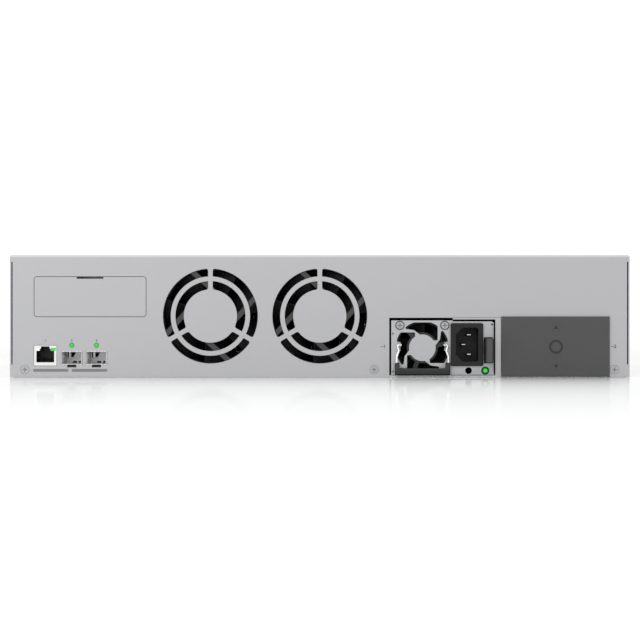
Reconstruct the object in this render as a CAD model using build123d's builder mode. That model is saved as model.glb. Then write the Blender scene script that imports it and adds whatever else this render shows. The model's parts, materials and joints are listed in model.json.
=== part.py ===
from build123d import *
import os
from math import atan2, cos, degrees, hypot, radians, sin, tan

# A two-unit rackmount network switch. Its rear holds two exhaust fans, a management port, two
# uplink cages, a covered expansion slot, one hot-swap power supply and one blanked power bay.
# Frame, in millimetres: +X to the right seen from the front, +Y to the rear, +Z up.
# The origin lies under the middle of the chassis, on its underside.

os.makedirs("parts", exist_ok=True)

# Chassis
WIDTH, DEPTH, HEIGHT = 442.0, 400.0, 87.0
SIDE, REAR, FRONT = WIDTH / 2, DEPTH / 2, -DEPTH / 2
COVER_T, TRAY_T, PANEL_T, PLATE_T = 1.0, 1.2, 1.2, 3.0
SLIT = 0.8  # between the cover's skirt and the tray's wall
ROOF_CHAMFER = 0.6
WALL = SIDE - COVER_T - SLIT  # outer face of the tray's wall
PANEL_BACK = REAR - PANEL_T
PLATE_BACK = FRONT + PLATE_T
EAR_LOW, EAR_HIGH = 9.0, 82.2  # the rear panel is full width below and above these heights

# Fasteners: M3 countersunk for the sheets, M4 press nuts for rack ears
SCREW_HEAD, SCREW_SHANK, SCREW_LENGTH = 3.0, 1.4, 6.0
SCREW_SINK, SCREW_DISH = 1.1, 3.25
EAR_CENTRE = (-170.0, 43.5)
EAR_PITCH = (30.0, 50.0)
EAR_HOLE, NUT_BORE, NUT_RADIUS, NUT_LENGTH = 2.25, 2.0, 3.6, 3.0

# Exhaust fans and their grilles
FAN_X, FAN_Z = (0.0, 78.0), 43.5
FAN_SIDE, FAN_DEPTH, FAN_BORE, FAN_HUB = 70.0, 25.0, 33.5, 15.0
FAN_HOLE_PITCH = 60.0
# each fan's struts: one strut's two ends from the fan's centre, how many, and their width
FAN_STRUTS = ((-12.5, -8.3), (-33.2, 14.6), 4, 3.6)
PSU_STRUTS = ((-8.0, 1.4), (-18.0, 3.2), 3, 3.0)
GRILLE_RINGS = ((19.0, 25.0), (28.3, 33.9))
SPOKE, SPOKE_ANGLES, SLOT_CORNER = 3.3, (90, 210, 330), 1.5

# Rear ports
PCB_LOW, PCB_T = 6.6, 1.6
PCB_TOP = PCB_LOW + PCB_T
JACK_X, JACK_W, JACK_H, JACK_DEPTH = 195.75, 16.0, 14.3, 22.0
MOUTH_W, MOUTH_H, MOUTH_DEPTH = 12.3, 8.2, 14.0
STEPS = ((7.8, 1.4), (4.8, 1.2))  # width and height of the two steps over a front mouth
JACK_MOUTH_W, JACK_STEPS = 12.7, ((7.8, 1.4), (6.2, 1.8))
LAMP_W, LAMP_H, LAMP_SPREAD, LAMP_RISE, LAMP_PLAY = 2.3, 1.8, 5.4, 5.4, 0.05
JACK_LAMP_W, JACK_LAMP_H, JACK_LAMP_SPREAD, JACK_LAMP_RISE = 3.5, 2.0, 5.8, 5.2
INSERT_W, INSERT_SPLIT = 14.0, 22.0  # each front insert's width, and the height between rows
SHIELD_T, CONTACT_PITCH, LAMP_DEPTH = 0.4, 1.02, 2.2
CAGE_X, CAGE_W, CAGE_H, CAGE_DEPTH, CAGE_T = (159.25, 176.85), 14.9, 9.4, 47.0, 0.4
CAGE_LOW, CAGE_PROUD = PCB_TOP + 0.8, 0.3
LATCH_NOTCH = (6.6, 2.1)
PIPE_R, PIPE_Z = 1.65, 22.7

# Expansion slot behind its snap-off cover
SLOT_X, SLOT_Z, SLOT_W, SLOT_H, SLOT_R = 163.8, 57.3, 79.5, 28.2, 1.8
SLOT_GAP = 0.4
NOTCH_W, NOTCH_H = 19.0, 1.3
POCKET_DEPTH = 26.0

# Power bays, from the panel opening's two edges
OPENING_X, OPENING_TOP = (-205.9, -49.55), 42.3
DIVIDER_X = (-127.8, -126.8)
STRIP_X, STRIP_STEP_X, STRIP_LOW = (-129.3, -125.2), -94.8, 41.1
CAGE_END = 14.0

# Power supply
PSU_X, PSU_Z, PSU_END, PSU_T, FACE_T = (-124.35, -51.0), (1.4, 39.7), 15.0, 0.8, 1.0
FACE_TALL, FACE_CORNER = 40.4, 2.2  # height at the fan side, and the corner at the latch side
PSU_FAN_X, PSU_FAN_Z, PSU_FAN_SIDE, PSU_FAN_DEPTH = -73.15, 20.9, 37.0, 20.0
PSU_FAN_BORE, PSU_FAN_HUB, PSU_HOLE_PITCH, PSU_DISC = 17.6, 11.0, 32.0, 9.5
PSU_GRILLE_R = 19.0
INLET_X, INLET_Z, INLET_W, INLET_H, FLANGE_T = -104.85, 23.2, 23.2, 30.6, 2.2
INLET_BODY = (20.4, 27.6, 18.0)
SOCKET_W, SOCKET_H, SOCKET_FLOOR, BLADE_TIP = 16.2, 24.2, REAR - 14.0, REAR - 3.0
LATCH_PIVOT = (-121.4, 150.0)
HANDLE_PIVOT = (REAR + 2.4, 22.9)
HANDLE_HALF, WIRE_R = 18.0, 0.85
EAR_X, EAR_R = (15.7, 16.5), 1.9
PSU_PCB_Z = (14.0, 15.6)

# Front ports
PORT_PITCH, PORT_COLUMNS, PORT_ROWS_Z = 14.2, 6, (15.2, 28.8)
BLOCK_X, BLOCK_W, BLOCK_TOP, BLOCK_DEPTH = (-120.0, -24.0), 87.0, 36.4, 26.0
FRONT_CAGE_X = (44.0, 62.0)
INTAKE_X, INTAKE_Z = (-196.0, 196.0), (49.0, 79.0)
RESET_X, RESET_Z = -196.0, 14.0
STATUS_X, STATUS_Z = -184.0, (20.0, 26.0, 32.0)


def save(builder, name):
    """Labels the finished piece and writes its STEP file."""
    builder.part.label = name
    export_step(builder.part, f"parts/{name}.step")


def span(x, y, z, mode=Mode.ADD):
    """A box between two limits along each axis."""
    centre = ((x[0] + x[1]) / 2, (y[0] + y[1]) / 2, (z[0] + z[1]) / 2)
    with Locations(centre):
        Box(abs(x[1] - x[0]), abs(y[1] - y[0]), abs(z[1] - z[0]), mode=mode)


def rod(radius, start, end, mode=Mode.ADD):
    """A cylinder from one point to another."""
    along = Vector(*end) - Vector(*start)
    with Locations(Plane(origin=start, z_dir=along)):
        Cylinder(
            radius,
            along.length,
            align=(Align.CENTER, Align.CENTER, Align.MIN),
            mode=mode,
        )


def facing_rear(y):
    """The XZ plane at depth y; a positive extrusion from it runs towards the front."""
    return Plane.XZ.offset(-y)


def dish(point, outward):
    """Cuts a countersink, its wide end at the point."""
    depth = PANEL_T
    with Locations(Plane(origin=point, z_dir=-Vector(*outward))):
        Cone(
            SCREW_DISH,
            SCREW_DISH - depth,
            depth,
            align=(Align.CENTER, Align.CENTER, Align.MIN),
            mode=Mode.SUBTRACT,
        )


def flat_screw(point, outward):
    """A countersunk screw whose head lies flush at the point, with a cross recess."""
    with Locations(Plane(origin=point, z_dir=-Vector(*outward))):
        Cone(
            SCREW_HEAD,
            SCREW_SHANK,
            SCREW_SINK,
            align=(Align.CENTER, Align.CENTER, Align.MIN),
        )
        Cylinder(
            SCREW_SHANK,
            SCREW_LENGTH,
            align=(Align.CENTER, Align.CENTER, Align.MIN),
        )
        Box(3.2, 0.6, 1.6, mode=Mode.SUBTRACT)
        Box(0.6, 3.2, 1.6, mode=Mode.SUBTRACT)


def pan_screw(point, outward, head, height, shank, length):
    """A pan-head screw seated at the point, with a cross recess in its head."""
    out = Vector(*outward)
    with Locations(Plane(origin=point, z_dir=out)):
        Cone(
            head,
            head * 0.8,
            height,
            align=(Align.CENTER, Align.CENTER, Align.MIN),
        )
        Cylinder(
            shank,
            length,
            align=(Align.CENTER, Align.CENTER, Align.MAX),
        )
    tip = Vector(*point) + out * height
    with Locations(Plane(origin=tip, z_dir=out)):
        Box(head * 1.1, head * 0.2, height, mode=Mode.SUBTRACT)
        Box(head * 0.2, head * 1.1, height, mode=Mode.SUBTRACT)


REAR_SCREWS = [(x, REAR, 5.3) for x in (210.3, -38.8, -210.3)]
FRONT_SCREWS = [(x, FRONT, z) for x in (-212.0, 212.0) for z in (6.0, 81.0)]
COVER_SCREW_Y, COVER_SCREW_Z = (-90.0, 30.0, 150.0), 74.0
STANDOFFS = [
    *((x, y) for x in (-205.0, -100.0, 100.0, 205.0) for y in (-120.0, -10.0)),
    *((x, 120.0) for x in (-34.0, 190.0)),
    *((x, y) for x in (147.5, 205.0) for y in (149.0, 172.0)),
]


# ---------------------------------------------------------------- sheet metal


def ear_points(side):
    """The four rack-ear hole centres on one side, at the cover's outer face."""
    y, z = EAR_CENTRE
    dy, dz = EAR_PITCH[0] / 2, EAR_PITCH[1] / 2
    return [(side * SIDE, y + i * dy, z + j * dz) for i in (-1, 1) for j in (-1, 1)]


def make_base_tray():
    """Floor, two side walls and the tabs that the end panels are screwed to."""
    tab_y = (PANEL_BACK - TRAY_T, PANEL_BACK)
    front_tab_y = (PLATE_BACK, PLATE_BACK + TRAY_T)
    with BuildPart() as tray:
        span((-WALL, WALL), (PLATE_BACK, PANEL_BACK), (0, TRAY_T))
        for side in (-1, 1):
            span(
                (side * WALL, side * (WALL - TRAY_T)),
                (PLATE_BACK, PANEL_BACK),
                (0, HEIGHT - COVER_T - TRAY_T),
            )
            span((side * 205, side * WALL), front_tab_y, (74, HEIGHT - 2.2))
            span((side * 205, side * WALL), front_tab_y, (0, 12))
        for x, _, z in REAR_SCREWS:
            span((x - 4.5, x + 3.0), tab_y, (0, 11))
            rod(SCREW_SHANK + 0.1, (x, REAR, z), (x, REAR - 8, z), Mode.SUBTRACT)
        for x, _, z in FRONT_SCREWS:
            rod(SCREW_SHANK + 0.1, (x, FRONT, z), (x, FRONT + 10, z), Mode.SUBTRACT)
        for side in (-1, 1):
            for y in COVER_SCREW_Y:
                start = (side * SIDE, y, COVER_SCREW_Z)
                end = (side * (WALL - 5), y, COVER_SCREW_Z)
                rod(SCREW_SHANK + 0.1, start, end, Mode.SUBTRACT)
            for x, y, z in ear_points(side):
                rod(EAR_HOLE, (x, y, z), (x - side * 6, y, z), Mode.SUBTRACT)
    save(tray, "base_tray")


def make_top_cover():
    """One sheet bent into a roof and two skirts, notched at the rear for the panel's ears."""
    with BuildPart() as cover:
        with BuildSketch(facing_rear(REAR)) as profile:
            with Locations((0, HEIGHT)):
                Rectangle(WIDTH, HEIGHT - 0.3, align=(Align.CENTER, Align.MAX))
            fillet(profile.vertices().group_by(Axis.Y)[-1], 1.6)
            with Locations((0, HEIGHT - COVER_T)):
                Rectangle(
                    WIDTH - 2 * COVER_T,
                    HEIGHT,
                    align=(Align.CENTER, Align.MAX),
                    mode=Mode.SUBTRACT,
                )
        extrude(amount=REAR - PLATE_BACK)
        rim = cover.edges().filter_by(Axis.X).group_by(Axis.Z)[-1]
        chamfer(rim.sort_by(Axis.Y)[-1], ROOF_CHAMFER)
        for side in (-1, 1):
            ear = (side * (SIDE - 2), side * (SIDE + 1))
            span(ear, (PANEL_BACK, REAR + 1), (0, EAR_LOW), Mode.SUBTRACT)
            span(
                ear, (PANEL_BACK, REAR + 1), (EAR_HIGH, HEIGHT - COVER_T), Mode.SUBTRACT
            )
            for x, y, z in ear_points(side):
                rod(EAR_HOLE, (x, y, z), (x - side * 1.5, y, z), Mode.SUBTRACT)
            for y in COVER_SCREW_Y:
                seat = (side * SIDE, y, COVER_SCREW_Z)
                dish(seat, (side, 0, 0))
                rod(1.9, seat, (side * (SIDE - 2), y, COVER_SCREW_Z), Mode.SUBTRACT)
    save(cover, "top_cover")


def grille_slots(centre, radii):
    """One ring of the fan grille: three arcs between spokes, rounded at their free corners."""
    inner, outer = radii
    free = inner if inner == GRILLE_RINGS[0][0] else outer
    with BuildSketch(facing_rear(REAR)) as ring:
        with Locations(centre):
            Circle(outer)
            Circle(inner, mode=Mode.SUBTRACT)
            for angle in SPOKE_ANGLES:
                Rectangle(
                    outer + 1,
                    SPOKE,
                    rotation=angle,
                    align=(Align.MIN, Align.CENTER),
                    mode=Mode.SUBTRACT,
                )
        corners = [
            v
            for v in ring.vertices()
            if abs(hypot(v.X - centre[0], v.Y - centre[1]) - free) < 0.3
        ]
        fillet(corners, SLOT_CORNER)
    return ring.sketch


def make_rear_panel():
    """The flat rear sheet with every opening, and a stiffening flange under the roof."""
    top = HEIGHT - COVER_T
    with BuildPart() as panel:
        with BuildSketch(facing_rear(REAR)) as outline:
            with Locations((0, top / 2)):
                Rectangle(WIDTH, top)
            for side in (-1, 1):
                with Locations((side * SIDE, (EAR_LOW + EAR_HIGH) / 2)):
                    Rectangle(
                        2 * (COVER_T + SLIT + 0.1),
                        EAR_HIGH - EAR_LOW,
                        mode=Mode.SUBTRACT,
                    )
            # management jack, uplink cages with their latch notches, light pipes
            with Locations((JACK_X, PCB_TOP + JACK_H / 2)):
                Rectangle(JACK_W + 0.5, JACK_H + 0.5, mode=Mode.SUBTRACT)
            for x in CAGE_X:
                with Locations((x, CAGE_LOW + CAGE_H / 2)):
                    Rectangle(CAGE_W + 0.4, CAGE_H + 0.4, mode=Mode.SUBTRACT)
                with Locations((x, CAGE_LOW - LATCH_NOTCH[1] / 2)):
                    Rectangle(*LATCH_NOTCH, mode=Mode.SUBTRACT)
                with Locations((x, PIPE_Z)):
                    Circle(PIPE_R + 0.1, mode=Mode.SUBTRACT)
            # expansion slot
            with Locations((SLOT_X, SLOT_Z)):
                RectangleRounded(
                    SLOT_W + 2 * SLOT_GAP,
                    SLOT_H + 2 * SLOT_GAP,
                    SLOT_R + SLOT_GAP,
                    mode=Mode.SUBTRACT,
                )
            # both power bays, open at the bottom
            with Locations((OPENING_X[0], OPENING_TOP)):
                Rectangle(
                    OPENING_X[1] - OPENING_X[0],
                    OPENING_TOP + 5,
                    align=(Align.MIN, Align.MAX),
                    mode=Mode.SUBTRACT,
                )
        extrude(amount=PANEL_T)
        span((-WALL + 2, WALL - 2), (REAR - 12, PANEL_BACK), (top - PANEL_T, top))
        for x in FAN_X:
            for radii in GRILLE_RINGS:
                slots = grille_slots((x, FAN_Z), radii)
                extrude(slots, amount=PANEL_T, mode=Mode.SUBTRACT)
        for x, y, z in REAR_SCREWS:
            dish((x, y, z), (0, 1, 0))
            rod(1.9, (x, y, z), (x, y - 2, z), Mode.SUBTRACT)
    save(panel, "rear_panel")


def make_front_panel():
    """The thick front plate with windows for the ports, the intake and the indicators."""
    with BuildPart() as plate:
        with BuildSketch(facing_rear(PLATE_BACK)) as face:
            with Locations((0, 0.3)):
                Rectangle(WIDTH, HEIGHT - 0.3, align=(Align.CENTER, Align.MIN))
            for x in BLOCK_X:
                with Locations((x, (PCB_TOP + BLOCK_TOP) / 2)):
                    Rectangle(
                        BLOCK_W + 0.6, BLOCK_TOP - PCB_TOP + 0.6, mode=Mode.SUBTRACT
                    )
            for x in FRONT_CAGE_X:
                with Locations((x, CAGE_LOW + CAGE_H / 2)):
                    Rectangle(CAGE_W + 0.6, CAGE_H + 0.6, mode=Mode.SUBTRACT)
            with Locations(((INTAKE_X[0] + INTAKE_X[1]) / 2, sum(INTAKE_Z) / 2)):
                RectangleRounded(
                    INTAKE_X[1] - INTAKE_X[0],
                    INTAKE_Z[1] - INTAKE_Z[0],
                    3.0,
                    mode=Mode.SUBTRACT,
                )
            with Locations((RESET_X, RESET_Z)):
                Circle(1.7, mode=Mode.SUBTRACT)
            with Locations(*((STATUS_X, z) for z in STATUS_Z)):
                Circle(1.3, mode=Mode.SUBTRACT)
        extrude(amount=PLATE_T)
        rim = [e for e in plate.edges().group_by(Axis.Y)[0] if e.length > HEIGHT - 2]
        outer = [
            e
            for e in rim
            if abs(e.center().X) > SIDE - 1
            or abs(e.center().Z) > HEIGHT - 1
            or e.center().Z < 1
        ]
        chamfer(outer, 0.8)
        for x, y, z in FRONT_SCREWS:
            dish((x, y, z), (0, -1, 0))
            rod(1.9, (x, y, z), (x, PLATE_BACK, z), Mode.SUBTRACT)
    save(plate, "front_panel")


def make_intake_grille():
    """The dark slotted sheet behind the front plate's long window."""
    y = PLATE_BACK + 1.2
    with BuildPart() as grille:
        with BuildSketch(facing_rear(y)):
            with Locations(((INTAKE_X[0] + INTAKE_X[1]) / 2, sum(INTAKE_Z) / 2)):
                Rectangle(INTAKE_X[1] - INTAKE_X[0] + 6, INTAKE_Z[1] - INTAKE_Z[0] + 4)
                with GridLocations(7.0, 9.4, 55, 3):
                    SlotOverall(7.6, 3.6, rotation=90, mode=Mode.SUBTRACT)
        extrude(amount=1.2)
    save(grille, "intake_grille")


def make_psu_cage():
    """Two bays in one bent sheet: roof, three walls and the trim strip between the bays."""
    low, t = TRAY_T, 1.0
    depth = (CAGE_END, PANEL_BACK)
    left, right = OPENING_X[1], OPENING_X[0]
    with BuildPart() as cage:
        span((right - t, left + t), depth, (OPENING_TOP, OPENING_TOP + t))
        span((left, left + t), depth, (low, OPENING_TOP))
        span(DIVIDER_X, depth, (low, OPENING_TOP))
        span((right - t, right), depth, (low, OPENING_TOP))
        span(STRIP_X, (PANEL_BACK, REAR), (low, OPENING_TOP))
        span(
            (STRIP_X[0], STRIP_STEP_X), (REAR - 4, REAR), (STRIP_LOW, OPENING_TOP)
        )
    save(cage, "psu_cage")


def make_fan_bracket():
    """A bent sheet that clamps both fans against the rear panel."""
    back = REAR - PANEL_T - FAN_DEPTH
    half = FAN_HOLE_PITCH / 2
    with BuildPart() as bracket:
        with BuildSketch(facing_rear(back)):
            with Locations((sum(FAN_X) / 2, 0)):
                with Locations((0, TRAY_T)):
                    Rectangle(
                        FAN_X[1] - FAN_X[0] + FAN_SIDE,
                        78.0,
                        align=(Align.CENTER, Align.MIN),
                    )
            for x in FAN_X:
                with Locations((x, FAN_Z)):
                    Circle(FAN_BORE, mode=Mode.SUBTRACT)
                    with GridLocations(2 * half, 2 * half, 2, 2):
                        Circle(1.7, mode=Mode.SUBTRACT)
                with Locations(lead_start(x)):
                    Circle(2.0, mode=Mode.SUBTRACT)
        extrude(amount=1.2)
        span((-FAN_SIDE / 2, FAN_X[1] + 35), (back - 12, back), (TRAY_T, TRAY_T * 2))
    save(bracket, "fan_bracket")


# ------------------------------------------------------------------ fasteners


def make_chassis_screws():
    with BuildPart() as screws:
        for point in REAR_SCREWS:
            flat_screw(point, (0, 1, 0))
        for point in FRONT_SCREWS:
            flat_screw(point, (0, -1, 0))
        for side in (-1, 1):
            for y in COVER_SCREW_Y:
                flat_screw((side * SIDE, y, COVER_SCREW_Z), (side, 0, 0))
    save(screws, "chassis_screws")


def make_ear_nuts():
    """Press nuts on the tray's inner faces that take the rack ears' M4 screws."""
    with BuildPart() as nuts:
        for side in (-1, 1):
            inner = WALL - TRAY_T
            for _, y, z in ear_points(side):
                start = (side * inner, y, z)
                end = (side * (inner - NUT_LENGTH), y, z)
                rod(NUT_RADIUS, start, end)
                rod(NUT_BORE, start, end, Mode.SUBTRACT)
    save(nuts, "ear_nuts")


def make_standoffs_and_screws():
    with BuildPart() as standoffs:
        for x, y in STANDOFFS:
            rod(2.8, (x, y, TRAY_T), (x, y, PCB_LOW))
            rod(1.3, (x, y, TRAY_T), (x, y, PCB_LOW), Mode.SUBTRACT)
    save(standoffs, "board_standoffs")
    with BuildPart() as screws:
        for x, y in STANDOFFS:
            pan_screw((x, y, PCB_TOP), (0, 0, 1), 2.8, 1.8, 1.2, 5.0)
    save(screws, "board_screws")


def make_fan_screws():
    """Eight long screws through the bracket into the corners of the two fans."""
    half = FAN_HOLE_PITCH / 2
    y = REAR - PANEL_T - FAN_DEPTH - 1.2
    with BuildPart() as screws:
        for x in FAN_X:
            for i in (-1, 1):
                for j in (-1, 1):
                    seat = (x + i * half, y, FAN_Z + j * half)
                    pan_screw(seat, (0, -1, 0), 3.2, 2.0, 1.5, 5.0)
    save(screws, "fan_screws")


# ----------------------------------------------------------------------- fans


def make_fan(name, centre, rear, side, depth, bore, hub, pitch, blades, struts, lead=None):
    """An axial fan in four nodes: frame with struts, stator, impeller and shaft."""
    x, z = centre
    back = facing_rear(rear)
    front_y = rear - depth
    flange, base, tube, tube_bore, shaft = 4.0, 3.0, 3.2, 1.56, 1.5
    corner, screw_hole = side * 0.057, side * 0.023 + 0.3
    strut_start, strut_end, strut_count, strut_width = struts
    run = Vector(*strut_end) - Vector(*strut_start)
    strut_mid = (Vector(*strut_start) + Vector(*strut_end)) * 0.5
    strut_angle = degrees(atan2(run.Y, run.X))
    with BuildPart() as frame:
        with BuildSketch(back):
            with Locations((x, z)):
                RectangleRounded(side, side, corner)
                Circle(bore, mode=Mode.SUBTRACT)
                with GridLocations(pitch, pitch, 2, 2):
                    Circle(screw_hole, mode=Mode.SUBTRACT)
                if lead:
                    with Locations((lead[0] - x, lead[1] - z)):
                        Circle(1.5, mode=Mode.SUBTRACT)
        extrude(amount=depth)
        # the duct between the two flanges
        with BuildSketch(facing_rear(rear - flange)):
            with Locations((x, z)):
                Rectangle(side + 2, side + 2)
                Circle(side / 2, mode=Mode.SUBTRACT)
        extrude(amount=depth - 2 * flange, mode=Mode.SUBTRACT)
        # the motor's base plate on its struts
        with BuildSketch(back):
            with Locations((x, z)):
                Circle(hub)
                for k in range(strut_count):
                    turn = k * 360 / strut_count
                    mid = strut_mid.rotate(Axis.Z, turn)
                    with Locations((mid.X, mid.Y)):
                        Rectangle(run.length, strut_width, rotation=strut_angle + turn)
        extrude(amount=base)
        rod(tube, (x, rear - base, z), (x, rear - depth * 0.62, z))
        rod(tube_bore, (x, rear - base, z), (x, rear - depth, z), Mode.SUBTRACT)
    save(frame, f"{name}_frame")

    tip, wall, cap = bore - 0.7, 1.2, 1.5
    stator_y = (rear - base - 1.5, rear - base - 1.5 - depth * 0.3)
    with BuildPart() as stator:
        with BuildSketch(facing_rear(stator_y[0])):
            with Locations((x, z)):
                Circle(tube + 2.0)
                for turn in (0, 90, 180, 270):
                    Rectangle(
                        hub - wall - 1.2,
                        2.4,
                        rotation=turn,
                        align=(Align.MIN, Align.CENTER),
                    )
                with PolarLocations(hub - wall - 2.4, 4):
                    Rectangle(1.6, hub * 0.62)
                Circle(tube, mode=Mode.SUBTRACT)
        extrude(amount=abs(stator_y[0] - stator_y[1]))
    save(stator, f"{name}_stator")

    hub_y = (rear - base - 0.8, front_y + 1.6)
    axial = depth - base - 5.0
    blade_mid = (rear - base - 2.0 - axial / 2)
    with BuildPart() as impeller:
        rod(hub, (x, hub_y[0], z), (x, hub_y[1], z))
        rod(hub - wall, (x, hub_y[0], z), (x, hub_y[1] + cap, z), Mode.SUBTRACT)
        for k in range(blades):
            angle = radians(360 * k / blades)
            out = Vector(cos(angle), 0, sin(angle))
            for radius, lean in ((hub - 1.0, 38), (tip + 1.0, 56)):
                origin = Vector(x, blade_mid, z) + out * radius
                with BuildSketch(Plane(origin=origin, x_dir=(0, 1, 0), z_dir=out)):
                    Rectangle(axial / cos(radians(lean)), 1.1, rotation=lean)
            loft()
        # trims the tips round and the blades' edges to the frame's depth
        with BuildSketch(facing_rear(rear - base - 0.8)):
            with Locations((x, z)):
                Circle(tip)
        extrude(amount=hub_y[0] - hub_y[1], mode=Mode.INTERSECT)
    save(impeller, f"{name}_impeller")

    with BuildPart() as spindle:
        rod(shaft, (x, hub_y[1] + cap, z), (x, rear - base - 0.3, z))
    save(spindle, f"{name}_shaft")


def lead_start(fan_x):
    """Where a fan's lead passes its flange, as X and Z."""
    return (fan_x + 31.6, FAN_Z - 22.0)


def make_fan_leads():
    """Each fan's lead, from its flange to the header on the main board, in two gentle bends."""
    start_y = REAR - PANEL_T - FAN_DEPTH + 3.0
    with BuildPart() as leads:
        for fan_x in FAN_X:
            x, z = lead_start(fan_x)
            points = [
                Vector(x, start_y, z),
                Vector(x, 159.0, z),
                Vector(x - 4.0, 148.0, PCB_TOP + 4.5),
                Vector(x - 4.0, 133.0, PCB_TOP + 4.5),
            ]
            radii = []
            for before, at, after in zip(points, points[1:], points[2:]):
                turn = (at - before).get_angle(after - at)
                run = min((at - before).length, (after - at).length)
                radii.append(0.45 * run / tan(radians(turn / 2)))
            print("fan lead bend radii", [round(r, 1) for r in radii])
            with BuildLine() as route:
                FilletPolyline(*points, radius=radii)
            with BuildSketch(Plane(origin=points[0], z_dir=points[1] - points[0])):
                Circle(1.2)
            sweep(path=route.line)
    save(leads, "fan_leads")


# ---------------------------------------------------------------- port blocks


def mouth(x, z, up, wide=MOUTH_W, steps=STEPS, mode=Mode.SUBTRACT):
    """A jack's stepped mouth in the current sketch; up is 1 or -1, the latch's side."""
    with Locations((x, z)):
        Rectangle(wide, MOUTH_H, mode=mode)
    edge = MOUTH_H / 2
    for width, height in steps:
        with Locations((x, z + up * (edge + height / 2 - 0.05))):
            Rectangle(width, height + 0.1, mode=mode)
        edge += height


def lamp_places(x, z, up, spread=LAMP_SPREAD, rise=LAMP_RISE):
    """The two indicator windows beside a mouth's latch."""
    return [(x + i * spread, z + up * rise) for i in (-1, 1)]


def contact_places(x, z, up, face, inward):
    """Where a jack's eight sprung contacts stand, sloping up from its mouth's floor."""
    slope, over_centre, depth = 24, 2.4, 8.0
    return [
        Location(
            (x + (k - 3.5) * CONTACT_PITCH, face + inward * depth, z - up * over_centre),
            (up * inward * slope, 0, 0),
        )
        for k in range(8)
    ]


def port_mouths():
    """X, Z and latch side of the front jacks of each block, upper row latch up."""
    return [
        [
            (bx + (c - (PORT_COLUMNS - 1) / 2) * PORT_PITCH, z, up)
            for c in range(PORT_COLUMNS)
            for z, up in zip(PORT_ROWS_Z, (-1, 1))
        ]
        for bx in BLOCK_X
    ]


def make_port_blocks():
    """Two ganged blocks of jacks: shields, plastic inserts, contacts and indicator lenses."""
    face = FRONT + 0.4
    back = face + BLOCK_DEPTH
    with BuildPart() as shields:
        for bx, places in zip(BLOCK_X, port_mouths()):
            outer_x = (bx - BLOCK_W / 2, bx + BLOCK_W / 2)
            inner_x = (outer_x[0] + SHIELD_T, outer_x[1] - SHIELD_T)
            span(outer_x, (face, back), (PCB_TOP, BLOCK_TOP))
            span(
                inner_x,
                (face + SHIELD_T, back + 1),
                (PCB_TOP - 1, BLOCK_TOP - SHIELD_T),
                Mode.SUBTRACT,
            )
            with BuildSketch(facing_rear(face + SHIELD_T)) as windows:
                with Locations((bx, (PCB_TOP + BLOCK_TOP) / 2)):
                    Rectangle(BLOCK_W, BLOCK_TOP - PCB_TOP)
                for place in places:
                    mouth(*place)
                    with Locations(*lamp_places(*place)):
                        Rectangle(
                            LAMP_W + 2 * LAMP_PLAY,
                            LAMP_H + 2 * LAMP_PLAY,
                            mode=Mode.SUBTRACT,
                        )
            plate = windows.sketch
            span(outer_x, (face, face + SHIELD_T), (PCB_TOP, BLOCK_TOP), Mode.SUBTRACT)
            extrude(plate, amount=SHIELD_T)
    save(shields, "port_shields")

    rows = ((PCB_TOP, INSERT_SPLIT - 0.1), (INSERT_SPLIT + 0.1, BLOCK_TOP - SHIELD_T))
    with BuildPart() as inserts:
        for places in port_mouths():
            for place in places:
                low, high = rows[0] if place[2] < 0 else rows[1]
                half = INSERT_W / 2
                x = (place[0] - half, place[0] + half)
                span(x, (face + SHIELD_T, back), (low, high))
        with BuildSketch(facing_rear(face + SHIELD_T + MOUTH_DEPTH)):
            for places in port_mouths():
                for place in places:
                    mouth(*place, mode=Mode.ADD)
        extrude(amount=MOUTH_DEPTH, mode=Mode.SUBTRACT)
        with BuildSketch(facing_rear(face + LAMP_DEPTH)):
            for places in port_mouths():
                for place in places:
                    with Locations(*lamp_places(*place)):
                        Rectangle(LAMP_W + 2 * LAMP_PLAY, LAMP_H + 2 * LAMP_PLAY)
        extrude(amount=LAMP_DEPTH, mode=Mode.SUBTRACT)
    save(inserts, "port_inserts")

    places = [
        spot
        for mouths in port_mouths()
        for x, z, up in mouths
        for spot in contact_places(x, z, up, face, 1)
    ]
    places += contact_places(JACK_X, jack_mouth_z(), 1, REAR, -1)
    with BuildPart() as pins:
        with Locations(*places):
            Box(0.4, 7.0, 0.3)
    save(pins, "port_contacts")

    with BuildPart() as lamps:
        with BuildSketch(facing_rear(face + LAMP_DEPTH)):
            for mouths in port_mouths():
                for place in mouths:
                    with Locations(*lamp_places(*place)):
                        Rectangle(LAMP_W, LAMP_H)
        extrude(amount=LAMP_DEPTH)
        half_w, half_h = JACK_LAMP_W / 2, JACK_LAMP_H / 2
        for lx, lz in jack_lamps():
            x = (lx - half_w, lx + half_w)
            span(x, (REAR - LAMP_DEPTH, REAR), (lz - half_h, lz + half_h))
    save(lamps, "port_lamps")


def jack_mouth_z():
    """The height of the rear jack's mouth centre."""
    return PCB_TOP + 2.3 + MOUTH_H / 2


def jack_lamps():
    """The rear jack's two indicator windows."""
    return lamp_places(JACK_X, jack_mouth_z(), 1, JACK_LAMP_SPREAD, JACK_LAMP_RISE)


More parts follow.
